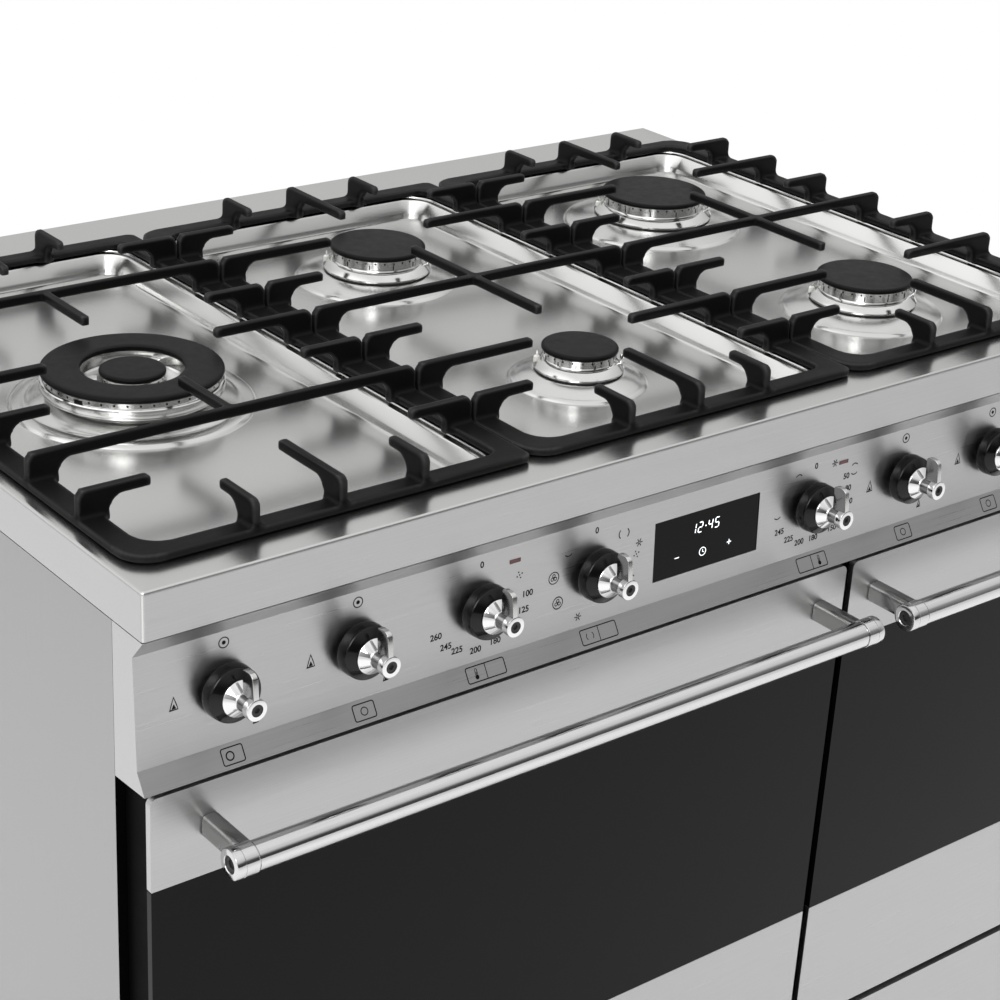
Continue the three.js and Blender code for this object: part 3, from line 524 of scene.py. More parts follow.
HOB_EDGE = raised([(1.5, -12), (1.5, -32), (0.2, -32), (0, -31.7), (0, -2.4), (0.2, -1.3), (0.8, -0.5),
                   (2.2, 0)])
PAN_EDGE = raised([(-9, 0), (-8.6, -0.2), (-8.2, -1.1), (-7.7, -1.3), (-5.6, -1.4), (-4.2, -1.8),
                   (-3.2, -2.9), (1.2, -11.5), (1.9, -13), (2.5, -15), (3.2, -16.2), (4.4, -16.8),
                   (6.5, -PAN_DEPTH)])
PAN_LEFT, PAN_RIGHT, PAN_FRONT, PAN_BACK = 17, 267, 43, 523


def seat_edge(seat, cup):
    """From the cone under a burner over its flat seat and down into the cup."""
    return [(seat, BOSS_RISE), (cup + 2, BOSS_RISE), (cup + 1.4, 6), (cup + 1.4, 3)]


def bead_edge(bead, seat, cup):
    """Radii and heights from the pan's floor up to the burner's seat and into its cup."""
    rise = [(bead + 2, 0), (bead + 1, 0.2), (bead - 0.2, 1.4), (bead - 1, 1.9), (bead - 2.4, 2.3),
            (bead - 5, 2.9), ((bead + seat) / 2, 5.2), (seat + 1.5, 7.6)]
    return raised(rise + seat_edge(seat, cup), PAN_FLOOR)


def wok_edge(bead, seat, cup):
    """The same for the wok burner, with a channel inside its bead."""
    rise = [(bead + 2.5, 0), (bead + 1, 0.3), (bead - 0.4, 2), (bead - 2, 2.7), (bead - 7, 2.9),
            (bead - 9, 2.2), (bead - 11, 2.1), (bead - 13, 3), (bead - 16, 4.2), (seat + 3, 7.2)]
    return raised(rise + seat_edge(seat, cup), PAN_FLOOR)


def build_hob():
    """The worktop's sheet with its three pans; its folded edge has a grain of its own."""
    made = Sheet()
    top = made.skirt(grown(-WIDTH / 2, WIDTH / 2, 0, DEPTH, 2.6), HOB_EDGE)
    pans = []
    for left in SUPPORT_LEFT:
        outline = grown(left + PAN_LEFT, left + PAN_RIGHT, PAN_FRONT, PAN_BACK, 16)
        pans.append((left, made.skirt(outline, PAN_EDGE[:1]), outline))
    made.fill(top, [rim for _, rim, _ in pans])
    seats = [(x, y, bead_edge(bead, flange, flange * CUP_SHARE))
             for x, y, _, flange, bead, _ in BURNERS.values()]
    seats.append((WOK_X, WOK_Y, wok_edge(WOK_BEAD, WOK_SEAT, WOK_CUP)))
    for left, rim, outline in pans:
        wall_foot = made.skirt(outline, PAN_EDGE[1:], rim)
        holes = []
        for x, y, profile in seats:
            if left < x < left + SUPPORT_PITCH:
                holes.append(made.skirt(circle(x, y), profile[:1]))
                made.skirt(circle(x, y), profile[1:], holes[-1])
        made.fill(wall_foot, holes)
    obj = piece("hob_sheet", (made.verts, made.faces), steel_pressed, "casing",
                ("hob_top",), 30)

    def upright(face):
        spot = TO_FRAME.inverted() @ face.center
        return abs(spot.x) > WIDTH / 2 - 0.5 or not 0.5 < spot.y < DEPTH - 0.5

    second_finish(obj, steel_x, upright)
    soften(obj)


def soften(obj):
    """Large faces keep their own direction, and narrow ones between them are shaded as a curve."""
    made = obj.modifiers.new("shading", "WEIGHTED_NORMAL")
    made.keep_sharp = True
    made.weight = 80


build_hob()


# ---- pan supports
WEB, WEB_LOW, WEB_HIGH = 5, TOP + 0.4, TOP + 6.2
FINGER_HALF, FINGER_STEP, CROSS_FINGER_STEP, SIDE_BAR = 3, 63, 62, 18
UNDER = raised([(-3, 1), (3.2, 1), (3.8, 5), (5, 9.5), (7.6, 13.6), (11, 16.2), (16, 17.4), (-3, 17.4)])


def web(x, y, along, across):
    """A curved web in the corner between a finger's flank and the frame's inner edge."""
    arc = [math.radians(a) for a in range(0, 91, 15)]
    corner = [(WEB * (1 - math.cos(a)), WEB * (1 - math.sin(a))) for a in arc]
    points = [(x - 1.5 * along[0], y - 1.5 * along[1])]
    for u, v in [(-1.5, WEB), *corner, (WEB, -FINGER_HALF)]:
        v += FINGER_HALF
        points.append((x + along[0] * u + across[0] * v, y + along[1] * u + across[1] * v))
    return extruded(points, "z", WEB_LOW, WEB_HIGH)


def root_fillets(left):
    """The curve under each finger's root and the webs at its two flanks."""
    shapes = []
    for row in range(-3, 4):
        y = SUPPORT_MIDDLE + FINGER_STEP * row
        for x, way in ((left + SIDE_BAR, 1), (left + SUPPORT_WIDTH - SIDE_BAR, -1)):
            curve = [(x + way * u, z) for u, z in UNDER]
            shapes.append(extruded(curve, "y", y - FINGER_HALF, y + FINGER_HALF))
            shapes += [web(x, y, (way, 0), (0, flank)) for flank in (1, -1)]
    for column in (-1, 0, 1):
        x = left + SUPPORT_PITCH / 2 + CROSS_FINGER_STEP * column
        for y, way in ((SUPPORT_FRONT, 1), (SUPPORT_BACK, -1)):
            curve = [(y + way * u, z) for u, z in UNDER]
            shapes.append(extruded(curve, "x", x - FINGER_HALF, x + FINGER_HALF))
            shapes += [web(x, y, (0, way), (flank, 0)) for flank in (1, -1)]
    return shapes


def as_mesh(obj):
    """A new mesh of an object as its modifiers shape it."""
    bpy.context.view_layer.update()
    return bpy.data.meshes.new_from_object(obj.evaluated_get(bpy.context.evaluated_depsgraph_get()))


def build_support(side, left):
    """A pan support with its fillets, cast as one piece of iron."""
    verts, faces = merge(*root_fillets(left))
    mesh = bpy.data.meshes.new("pan_support_" + side)
    mesh.from_pydata([TO_FRAME @ Vector(v) for v in verts], [], faces)
    work = bmesh.new()
    work.from_mesh(mesh)
    bmesh.ops.recalc_face_normals(work, faces=work.faces)
    work.from_mesh(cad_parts["pan_support_" + side].data)
    work.to_mesh(mesh)
    work.free()
    obj = add("iron_support_" + side, mesh)
    grain = obj.modifiers.new("cast", "REMESH")
    grain.mode = "VOXEL"
    grain.voxel_size = 0.0014
    round_off = obj.modifiers.new("rounding", "SMOOTH")
    round_off.factor = 0.5
    round_off.iterations = 8
    thin = obj.modifiers.new("thin", "DECIMATE")
    thin.ratio = 0.3
    cast_mesh = as_mesh(obj)
    obj.modifiers.clear()
    obj.data = cast_mesh
    bpy.data.meshes.remove(mesh)
    for polygon in cast_mesh.polygons:
        polygon.use_smooth = True
    cast_mesh.materials.clear()
    cast_mesh.materials.append(iron)
    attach(obj, "support_" + side)
    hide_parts("pan_support_" + side)


for side, left in zip(("left", "centre", "right"), SUPPORT_LEFT):
    build_support(side, left)


# ---- burners
SPARK_PLUG = lathe([(0, -4), (2.3, -4), (2.3, 4.5), (1.7, 5.2), (0, 5.2)], 20)
SPARK_PIN = lathe([(0, 5), (0.7, 5), (0.7, 9), (0, 9.2)], 10)
FLAME_PROBE = lathe([(0, -4), (1.6, -4), (1.6, 8.5), (1.1, 9.6), (0, 9.8)], 16)
BESIDE_CAP = (("spark_plug_", SPARK_PLUG, 140, ceramic), ("spark_pin_", SPARK_PIN, 140, chrome),
              ("flame_probe_", FLAME_PROBE, -38, chrome))
WOK_PLUG_TURN, WOK_WINDOW_TURN = 172, 205


def cap_profile(radius, top):
    """A flat cap with a rounded rim, by the height of its top."""
    return raised([(0, -4), (radius - 1.2, -4), (radius - 0.3, -3.6), (radius, -2.9), (radius, -1.6),
                   (radius - 0.4, -0.8), (radius - 1.4, -0.25), (radius - 3, -0.08), (radius * 0.5, 0),
                   (0, 0)], top)


def ports(x, y, radius, z, count, size):
    """Flame ports as short dark plugs that just break the surface of the head; their black is painted shade
    inside the holes.
    """
    plug = to_x(lathe([(0, -0.6), (size, -0.6), (size, 0.12), (0, 0.12)], 10))
    return merge(*[around(plug, 360 * i / count, radius, x, y, z) for i in range(count)])


def build_cap(name, profile, segments, x, y):
    soften(piece("enamel_cap_" + name, shift(lathe(profile, segments), x, y), cap_black, "cap_" + name,
                 ("burner_cap_" + name,), 40))


def build_body(name, profile, gasket, segments, x, y):
    piece("burner_body_" + name, shift(lathe(raised(profile), segments[0]), x, y), burner_metal, "casing",
          ("burner_" + name,), 32)
    piece("burner_gasket_" + name, shift(lathe(raised(gasket), segments[1]), x, y), matt_black, smooth=50)


def build_burner(name, x, y, cap_radius, flange, rise):
    cup = flange * CUP_SHARE
    head = cap_radius - 1.5
    top = TOP + rise
    profile = [(0, -36), (cup - 1, -36), (cup, -35), (cup, -7.9), (flange - 0.6, -7.9), (flange, -7.3),
               (flange, -6.1), (flange - 0.6, -5.5), (cap_radius + 1, -1.8), (head + 0.6, -1.1),
               (head + 0.3, 0.2), (head, 0.6), (head, rise - 4.1), (head - 7, rise - 4.1), (0, rise - 4.1)]
    gasket = [(cup + 2.5, -8.9), (flange - 1.2, -8.9), (flange - 0.5, -8.5), (flange - 0.7, -7.95),
              (cup + 2.5, -7.95), (cup + 2.5, -8.9)]
    build_body(name, profile, gasket, (72, 72), x, y)
    dots = ports(x, y, head, top - 5.6, round(head * 0.85), 0.75)
    piece("burner_ports_" + name, dots, ink_and_hole_shade, smooth=0)
    # The slits are dark boxes of painted shade, not openings.
    slit = box(-0.3, 0.1, -0.35, 0.35, 0, 3.6)
    slits = [around(slit, 30 * i + 15, head + 0.15, x, y, top - 10.4) for i in range(12)]
    piece("burner_slits_" + name, merge(*slits), ink_and_hole_shade, smooth=0)
    build_cap(name, cap_profile(cap_radius, top), 96, x, y)
    reach = cap_radius + 2.6
    for kind, shape, turn, material in BESIDE_CAP:
        piece(kind + name, around(shape, turn, reach, x, y, TOP - 6), material)


def build_wok_burner():
    """The large burner with a ring of flame outside and a small one in its middle."""
    x, y = WOK_X, WOK_Y
    profile = [(0, -36), (WOK_CUP - 1, -36), (WOK_CUP, -35), (WOK_CUP, -8.7), (53.5, -8.7), (54, -8.2),
               (54.2, -6.4), (61.5, -6), (62.8, -5.4), (63.6, -3.8), (63.4, 1.2), (62.8, 2), (61.6, 2.4),
               (61.5, 5.9), (56, 5.9), (56, 4.5), (43, 4.5), (43, 5.9), (37.6, 5.9), (37.4, -3),
               (36.4, -4.4), (34, -4.8), (26.5, -4.8), (24, -4.2), (23, -3), (22.4, -1), (21.6, -0.6),
               (21.5, 3.9), (0, 3.9)]
    gasket = [(33, -8.95), (53.4, -8.95), (53.4, -8.7), (33, -8.7), (33, -8.95)]
    build_body("wok", profile, gasket, (120, 96), x, y)
    dots = merge(ports(x, y, 61.5, TOP + 4.3, 44, 0.8), ports(x, y, 21.5, TOP + 1.9, 22, 0.7))
    piece("burner_ports_wok", dots, ink_and_hole_shade, smooth=0)
    ribs = [around(box(-7, 7, -4, 4, 0, 6.5), turn, 30.5, x, y, TOP - 4.7) for turn in (35, 155, 275)]
    piece("burner_bridges_wok", merge(*ribs), burner_metal, bevel=1)
    ring_cap = [(36, 6), (35.7, 7), (35.9, 9), (37, 9.7), (40, 10), (58, 10), (60.5, 9.85), (62, 9.4),
                (62.8, 8.5), (63, 7.3), (62.4, 6.3), (61.6, 6), (36, 6)]
    build_cap("wok_ring", raised(ring_cap), 128, x, y)
    build_cap("wok_centre", cap_profile(23, TOP + 8), 80, x, y)
    piece("spark_plug_wok", around(SPARK_PLUG, WOK_PLUG_TURN, 29, x, y, TOP - 3.5), ceramic)
    piece("spark_pin_wok", around(SPARK_PIN, WOK_PLUG_TURN, 29, x, y, TOP - 5.5), chrome)
    # The window is a dark box of painted shade.
    window = box(-0.6, 0.25, -3.2, 3.2, 0, 4.2)
    piece("burner_window_wok", around(window, WOK_WINDOW_TURN, 61.6, x, y, TOP + 0.4), ink_and_hole_shade, smooth=0)


for name, (x, y, cap_radius, flange, _, rise) in BURNERS.items():
    build_burner(name, x, y, cap_radius, flange, rise)
build_wok_burner()


# ---- knobs
KNOB_Z = 816.0
KNOBS = {
    "gas_left": -389, "gas_rear_centre": -293, "main_oven_heat": -197, "main_oven_mode": -101,
    "side_oven": 101, "gas_front_centre": 197, "gas_rear_right": 293, "gas_front_right": 389,
}
GAS_SPINDLE, OVEN_SPINDLE, BLADE_HALF = 34.2, 11.4, 1.9
COLLAR = [(3.2, -4.4), (4.3, -4.4), (4.3, 3.5), (17.4, 3.5), (18.3, 3.9), (18.5, 4.6), (18.5, 5.4),
          (18, 11.4), (17.7, 12.1), (17, 12.6), (12.4, 15.6), (11.8, 15.9), (3.2, 15.9), (3.2, -4.4)]
STEM_BACK, STEM_FRONT, STEM_LEAST, STEM_MOST = 22, 29.6, 5, 6
LEVER = [(2.7, 16.1), (11.5, 16.1), (12, 16.4), (12, 17), (11.7, 17.4), (6.4, 21), (5.9, 21.5),
         (5.7, 22.2), (5.7, 29.5), (6, 29.8), (6.7, 29.9), (7, 30.3), (7, 35.1), (6.8, 35.6),
         (6.4, 35.8), (4, 35.8), (3.9, 35.6), (3.9, 33.4), (0, 33.4)]
BLADE = [(4.2, 35.5), (19.4, 34.5), (21.3, 33.5), (22.5, 31.7), (23, 29.4), (23, 25.4), (22.4, 23.7),
         (21, 22.9), (4.2, 22.9)]
INSERT = [(0, 33.5), (3.85, 33.5), (3.85, 35.1), (3.6, 35.3), (1.75, 35.3), (1.75, 34), (0, 34)]


def build_knob(name, x):
    """A collar and a lever; the stem behind its hub and the flanks of its blade get a darker chrome as
    painted shade.
    """
    gas = name.startswith("gas")
    collar_body, lever_body = ("collar_" + name, "lever_" + name) if gas else ("knob_" + name,) * 2
    piece("grip_" + name, on_panel(lathe(COLLAR, 72), x, KNOB_Z), gloss_black, collar_body,
          ("knob_collar_" + name,) if gas else (), 38)
    back = -GAS_SPINDLE if gas else -OVEN_SPINDLE
    lever = lathe([(0, back), (2.7, back), *LEVER], 64)
    stem = piece("stem_" + name, on_panel(lever, x, KNOB_Z), chrome, lever_body,
                 ("knob_lever_" + name if gas else "knob_" + name,), 32)
    to_knob = on_panel_matrix(x, KNOB_Z).inverted() @ TO_FRAME.inverted()

    def behind_hub(face):
        spot = to_knob @ face.center
        return STEM_BACK < spot.z < STEM_FRONT and STEM_LEAST < spot.xy.length < STEM_MOST

    # Painted shade: the stem behind the hub gets the darker chrome.
    second_finish(stem, chrome_painted_shade, behind_hub)
    flat = extruded(BLADE, "x", -BLADE_HALF, BLADE_HALF)
    blade = piece("blade_" + name, on_panel(flat, x, KNOB_Z), steel_round, lever_body, bevel=0.55)
    # Painted shade: both flat flanks of the blade get the darker chrome.
    second_finish(blade, chrome_painted_shade, lambda face: abs(face.normal.x) > 0.8)
    insert = lathe(INSERT, 60, hex_bore(4))
    piece("insert_" + name, on_panel(insert, x, KNOB_Z), matt_black, lever_body, smooth=30)


for name, x in KNOBS.items():
    build_knob(name, x)


# ---- doors
# left, right, how far the inner pane lies in from either side
DOORS = {"main": (-446, 138.1, 66), "side": (145.1, 446, 48.5)}
HANDLES = {"main": (-419, 126.1), "side": (157.1, 419)}
HANDLE_Y, HANDLE_Z, BRACKET_INSET = -43, 732, 13.8
PANE = (28.6, 31.2, 422, 696)


def bar_profile(length):
    """A round bar with a grooved collar at each end, sunk for its screw."""
    end = [(5.6, 3), (5.6, 0.5), (6, 0), (9.3, 0), (9.9, 0.3), (10.3, 1.1), (10.3, 5.5), (9.9, 5.7),
           (9.9, 6.1), (10.3, 6.3), (10.3, 15.2), (10.1, 15.5), (9.1, 15.6), (9.1, 16.3), (9.6, 16.4)]
    return [(0, 3)] + end + [(r, length - x) for r, x in reversed(end)] + [(0, length - 3)]


def bracket(x):
    """Bracket from the bar straight back to the door, with a fine joint where it meets the steel."""
    steps = [(HANDLE_Y, 12.4, 16, 4.2), (-0.1, 12.4, 16, 4.2), (0.3, 11.6, 15.2, 3.8),
             (0.7, 11.6, 15.2, 3.8)]
    verts, faces = [], []
    for y, width, height, radius in steps:
        oval = rounded(-width / 2, width / 2, -height / 2, height / 2, (radius,) * 4, 6)
        if verts:
            faces += band(len(verts) - len(oval), len(verts), len(oval))
        verts += [(x + u, y, HANDLE_Z + v) for u, v in oval]
    return verts, faces + ends(len(verts), len(oval))


def hex_plug(x, way):
    """Dark screw head sunk in the end of a bar."""
    profile = [(5.55, 2.9), (5.55, 1.6), (3, 1.6), (3, 2.8), (0, 2.8)]
    shape = lathe([(r, way * a) for r, a in profile], 60, hex_bore(2))
    return shift(to_x(shape), x, HANDLE_Y, HANDLE_Z)


def build_handle(unit):
    x0, x1 = HANDLES[unit]
    body = unit + "_door"
    bar = shift(to_x(lathe(bar_profile(x1 - x0), 64)), x0, HANDLE_Y, HANDLE_Z)
    piece("handle_bar_" + unit, bar, steel_bar, body, (unit + "_door_handle",), 32)
    brackets = merge(bracket(x0 + BRACKET_INSET), bracket(x1 - BRACKET_INSET))
    # The brackets take the darker steel as painted shade.
    piece("handle_brackets_" + unit, brackets, steel_turned_painted_shade, body, (), 30)
    piece("handle_screws_" + unit, merge(hex_plug(x0, 1), hex_plug(x1, -1)), matt_black, body, smooth=30)


for unit, (left, right, inset) in DOORS.items():
    pane = box(left + inset, right - inset, *PANE)
    piece("inner_pane_" + unit, pane, glass_black, unit + "_door", bevel=0.4)
    build_handle(unit)


# ---- ovens
def rod(radius, a, b, segments=12):
    """A round rod between two points."""
    a, b = Vector(a), Vector(b)
    length = (b - a).length
    turn = (b - a).to_track_quat("Z", "Y").to_matrix().to_4x4()
    return moved(lathe([(0, 0), (radius, 0), (radius, length), (0, length)], segments),
                 Matrix.Translation(a) @ turn)


def tube(points, radius, segments=10, closed=False):
    """A round bar bent through a list of points."""
    points = [Vector(p) for p in points]
    n = len(points)
    verts, faces = [], []
    for before, p, after in walk(points, closed):
        way = (after - before).normalized()
        side = way.orthogonal() if abs(way.z) > 0.9 else way.cross(Vector((0, 0, 1)))
        side.normalize()
        up = side.cross(way)
        verts += [tuple(p + radius * (math.cos(a) * side + math.sin(a) * up)) for a in turns(segments)]
    for i in range(n if closed else n - 1):
        faces += band(i * segments, (i + 1) % n * segments, segments)
    if not closed:
        faces += ends(len(verts), segments)
    return verts, faces


OVENS = {"main": (-389, 81), "side": (187.6, 403.5)}
SEAL_STAND, LAMP_IN, LAMP_DOWN = 5.8, 48, 52
OVEN_LOW, OVEN_HIGH, OVEN_FRONT, OVEN_BACK = 387, 717, 41.3, 451.3


RIM_WIRE, CROSS_WIRE, WIRE_STEP = 2.5, 1.5, 24


def build_rack(unit):
    """A rack of round wires inside the box of its node."""
    node = unit + "_oven_rack"
    low, high = (TO_FRAME.inverted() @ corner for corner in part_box(node))
    x0, x1, y0, y1 = low.x + RIM_WIRE, high.x - RIM_WIRE, low.y + RIM_WIRE, high.y - RIM_WIRE
    z = low.z + RIM_WIRE
    corners = [(x0, y0, z), (x1, y0, z), (x0, y1, z), (x1, y1, z)]
    shapes = [rod(RIM_WIRE, corners[a], corners[b]) for a, b in ((0, 1), (2, 3), (0, 2), (1, 3))]
    knuckle = lathe([(0, -RIM_WIRE), (RIM_WIRE, -RIM_WIRE), (RIM_WIRE, RIM_WIRE), (0, RIM_WIRE)], 12)
    shapes += [shift(knuckle, x, y, z) for x in (x0, x1) for y in (y0, y1)]
    count = round((x1 - x0 - 5) / WIRE_STEP)
    for i in range(1, count):
        x = x0 + (x1 - x0) * i / count
        shapes.append(rod(CROSS_WIRE, (x, y0, z), (x, y1, z)))
    piece("rack_wires_" + unit, merge(*shapes), chrome, unit + "_rack", (node,), 50)


GRILL_LOOPS = {"main": 3, "side": 2}
GRILL_Z, GRILL_FRONT, GRILL_BACK = OVEN_HIGH - 12, OVEN_FRONT + 60, OVEN_BACK - 70


def grill_path(left, right, loops):
    """Bends of a grill element that comes from the back wall, winds across the oven and goes back."""
    z = GRILL_Z
    path = [(left, OVEN_BACK + 0.5, z), (left, GRILL_FRONT + 14, z)]
    for i in range(loops):
        near, far, end = (left + (right - left) * (i + part) / loops for part in (0, 0.5, 1))
        for a, b, y, way in ((near, far, GRILL_FRONT, 1), (far, end, GRILL_BACK, -1)):
            path += [(a, y + 14 * way, z), (a + 5, y + 3 * way, z), (a + 16, y, z),
                     (b - 16, y, z), (b - 5, y + 3 * way, z), (b, y + 14 * way, z)]
    path += [(right, GRILL_FRONT + 14, z), (right + 12, GRILL_FRONT + 14, z),
             (right + 14, GRILL_FRONT + 20, z), (right + 14, OVEN_BACK + 0.5, z)]
    return [p for i, p in enumerate(path) if i == 0 or (Vector(p) - Vector(path[i - 1])).length > 0.5]


def build_oven(unit):
    x0, x1 = OVENS[unit]
    build_rack(unit)
    element = tube(grill_path(x0 + 30, x1 - 30, GRILL_LOOPS[unit]), 3.4)
    piece("grill_element_" + unit, element, matt_black, smooth=50)
    lamp = lathe([(0, 0), (21, 0), (22, 2), (20, 6), (14, 9), (6, 10.4), (0, 10.8)], 40)
    lamp = moved(lamp, Matrix.Rotation(math.pi / 2, 4, "X"))
    piece("oven_lamp_" + unit, shift(lamp, x1 - LAMP_IN, OVEN_BACK - 0.1, OVEN_HIGH - LAMP_DOWN), lamp_glass)
    rim = grown(x0 - 9, x1 + 9, OVEN_LOW - 9, OVEN_HIGH + 9, 18, 6)(0)
    seal = tube([(x, OVEN_FRONT - SEAL_STAND, z) for x, z in rim], 2.3, closed=True)
    piece("door_seal_" + unit, seal, rubber, smooth=60)


def fan_guard():
    """Rings and spokes in front of the fan, on three posts."""
    x, z, y = -154, 552, 408.6
    inner, outer = 18, 80
    shapes = []
    for radius in (inner, 34, 50, 66, outer):
        shapes.append(tube([(u, y, v) for u, v in circle(x, z, 48)(radius)], 1.2, 8, closed=True))
    for angle in turns(6):
        (u0, v0), (u1, v1) = (polar(radius, angle, x, z) for radius in (inner, outer))
        shapes.append(rod(1.3, (u0, y, v0), (u1, y, v1), 8))
    for angle in turns(3, 0.25):
        u, v = polar(outer, angle, x, z)
        shapes.append(rod(2.4, (u, y, v), (u, OVEN_BACK + 0.3, v)))
    piece("fan_guard", merge(*shapes), chrome, smooth=50)


for unit in OVENS:
    build_oven(unit)
fan_guard()


# ---- panel marks
def stroke(points, width, closed=True):
    """A flat line of even width along points."""
    points = [Vector(p) for p in points]
    n = len(points)
    verts = []
    for before, p, after in walk(points, closed):
        way = (after - before).normalized()
        side = Vector((-way.y, way.x))
        first, last = (p - before), (after - p)
        stretch = 1.0
        if first.length > 1e-6 and last.length > 1e-6:
            stretch = 1 / max(abs(first.normalized().dot(way)), 0.5)
        verts += [tuple(p + side * width / 2 * stretch), tuple(p - side * width / 2 * stretch)]
    faces = []
    for i in range(n if closed else n - 1):
        a, b = 2 * i, 2 * ((i + 1) % n)
        faces.append((a, a + 1, b + 1, b))
    return verts, faces


def arc(cx, cy, radius, start, end, steps=24):
    """Points of an arc between two angles in degrees."""
    angles = [math.radians(start + (end - start) * i / steps) for i in range(steps + 1)]
    return [polar(radius, angle, cx, cy) for angle in angles]


def ring(cx, cy, radius, width):
    return stroke(arc(cx, cy, radius, 0, 345, 23), width)


def area(points):
    return points, [tuple(range(len(points)))]


def disc(cx, cy, radius):
    return area(arc(cx, cy, radius, 0, 345, 23))


def slide(shape, dx, dy, scale=1):
    verts, faces = shape
    return [(x * scale + dx, y * scale + dy) for x, y in verts], faces


def lettering(text, height):
    """Plain figures from the built-in font, as flat shapes of the given height."""
    curve = bpy.data.curves.new("figures", "FONT")
    curve.body = text
    curve.align_x = curve.align_y = "CENTER"
    curve.offset = 0.026
    obj = add("figures", curve)
    mesh = as_mesh(obj)
    flat = [(v.co.x, v.co.y) for v in mesh.vertices], [tuple(p.vertices) for p in mesh.polygons]
    bpy.data.objects.remove(obj)
    bpy.data.curves.remove(curve)
    bpy.data.meshes.remove(mesh)
    return slide(flat, 0, 0, height / 0.7)


def flame(size):
    """Pointed flame sign with a filled heart."""
    outer = [(-0.36, -0.5), (0.36, -0.5), (0.2, 0), (0, 0.55), (-0.2, 0)]
    heart = [(-0.2, -0.42), (0.2, -0.42), (0.1, -0.2), (0, 0), (-0.1, -0.2)]
    return merge(stroke([(x * size, y * size) for x, y in outer], 0.7), slide(area(heart), 0, 0, size))


STAR = merge(*[stroke([polar(0.5, a), polar(3, a)], 0.75, False) for a in turns(6)])
FIVE_DOTS = merge(*[disc(*polar(2.2, a), 0.6) for a in turns(4, 0.25)], disc(0, 0, 0.6))
FAN_BLADES = [polar(1.5, math.radians(a)) for a in (90, 210, 330)]
FAN = merge(ring(0, 0, 4.2, 0.7), *[stroke(arc(x, y, 1.1, 0, 330, 12), 0.6) for x, y in FAN_BLADES])
HEAT_ABOVE = stroke(arc(0, 0.5, 3.8, 40, 140, 10), 0.8, False)
HEAT_BELOW = stroke(arc(0, -0.5, 3.8, 220, 320, 10), 0.8, False)
BRACKETS = merge(stroke(arc(-0.6, 0, 3.8, 130, 230, 10), 0.8, False),
                 stroke(arc(0.6, 0, 3.8, -50, 50, 10), 0.8, False))
THERMOMETER = merge(stroke([(-0.8, -1.4), (-0.8, 2.94), (0, 3.5), (0.8, 2.94), (0.8, -1.4)], 0.4, False),
                    disc(0, -2.24, 1.5), stroke([(0, -2.1), (0, 1.4)], 0.5, False))
TARGET = merge(ring(0, 0, 3.4, 0.75), disc(0, 0, 1.35))
FIGURE = 4.3
GAS_MARKS = [(0, 30, TARGET), (-35, 0, flame(7.8)), (21, -27, flame(5))]


def figures(places):
    return [(x, y, lettering(text, FIGURE)) for x, y, text in places]


HEAT_MARKS = figures([(0, 30, "0"), (38, 0, "100"), (35, -11, "125"), (12, -27, "180"), (-4, -29, "200"),
                      (-19, -25, "225"), (-28, -20, "245"), (-36, -11, "260")]) + [(31, 15, FIVE_DOTS)]
MODE_MARKS = figures([(0, 30, "0")]) + [
    (24, 22, BRACKETS), (-24, 22, HEAT_BELOW), (-36, 5, FAN),
    (-32, -14, merge(HEAT_ABOVE, HEAT_BELOW, FAN)), (-14, -29, STAR), (11, -26, HEAT_ABOVE),
    (32, -15, HEAT_ABOVE), (36, 4, FIVE_DOTS), (38, 12, STAR)]
SIDE_MARKS = figures([(3, 29, "0"), (35, 14, "50"), (38, 4, "80"), (39, -7, "100"), (24, -24, "150"),
                      (5, -27, "180"), (-9, -27, "200"), (-20, -22, "225"), (-30, -14, "245")]) + [
    (22, 27, STAR), (-14, 22, HEAT_ABOVE), (-33, 1, HEAT_BELOW), (43, 18, merge(HEAT_ABOVE, HEAT_BELOW))]
FACE_MARKS = {"main_oven_heat": HEAT_MARKS, "main_oven_mode": MODE_MARKS, "side_oven": SIDE_MARKS}
INK_LIFT = 0.05


def on_face(flat, x, z, lift):
    """Places a flat drawing on the panel's main face."""
    verts, faces = flat
    return on_panel(([(u, v, lift) for u, v in verts], faces), x, z)


LIP_Y, LIP_Z, LIP_SHIFT, LAMP_RISE = 4.25, 772.25, 2, 26
LIP_UP, LIP_NORMAL = Vector((0, 0.533, 0.846)), Vector((0, -0.846, 0.533))


def on_lip(flat, x):
    """Places a flat drawing on the slanting strip along the panel's lower edge."""
    verts, faces = flat
    base = Vector((x, LIP_Y, LIP_Z)) + LIP_NORMAL * INK_LIFT
    return [tuple(base + Vector((u, 0, 0)) + LIP_UP * v) for u, v in verts], faces


def frame_sign(width, *inner, cells=1, height=10.4):
    """A rounded frame, with a line in the middle where it has two cells, and signs inside."""
    shapes = [stroke(rounded(-width / 2, width / 2, -height / 2, height / 2, (1.4,) * 4, 4), 0.75)]
    if cells == 2:
        shapes.append(stroke([(0, -height / 2), (0, height / 2)], 0.6, False))
    return merge(*shapes, *inner)


RING_SIGN = frame_sign(16, ring(0, 0, 2.5, 0.65))
LIP_SIGNS = {
    "gas_left": frame_sign(15, ring(-2, 0, 2.6, 0.9)),
    "main_oven_heat": frame_sign(31, slide(THERMOMETER, -7.8, 0), cells=2),
    "main_oven_mode": frame_sign(31, slide(BRACKETS, -7.8, 0, 0.7), cells=2),
    "side_oven": frame_sign(29, slide(THERMOMETER, 7.2, 0), cells=2),
}


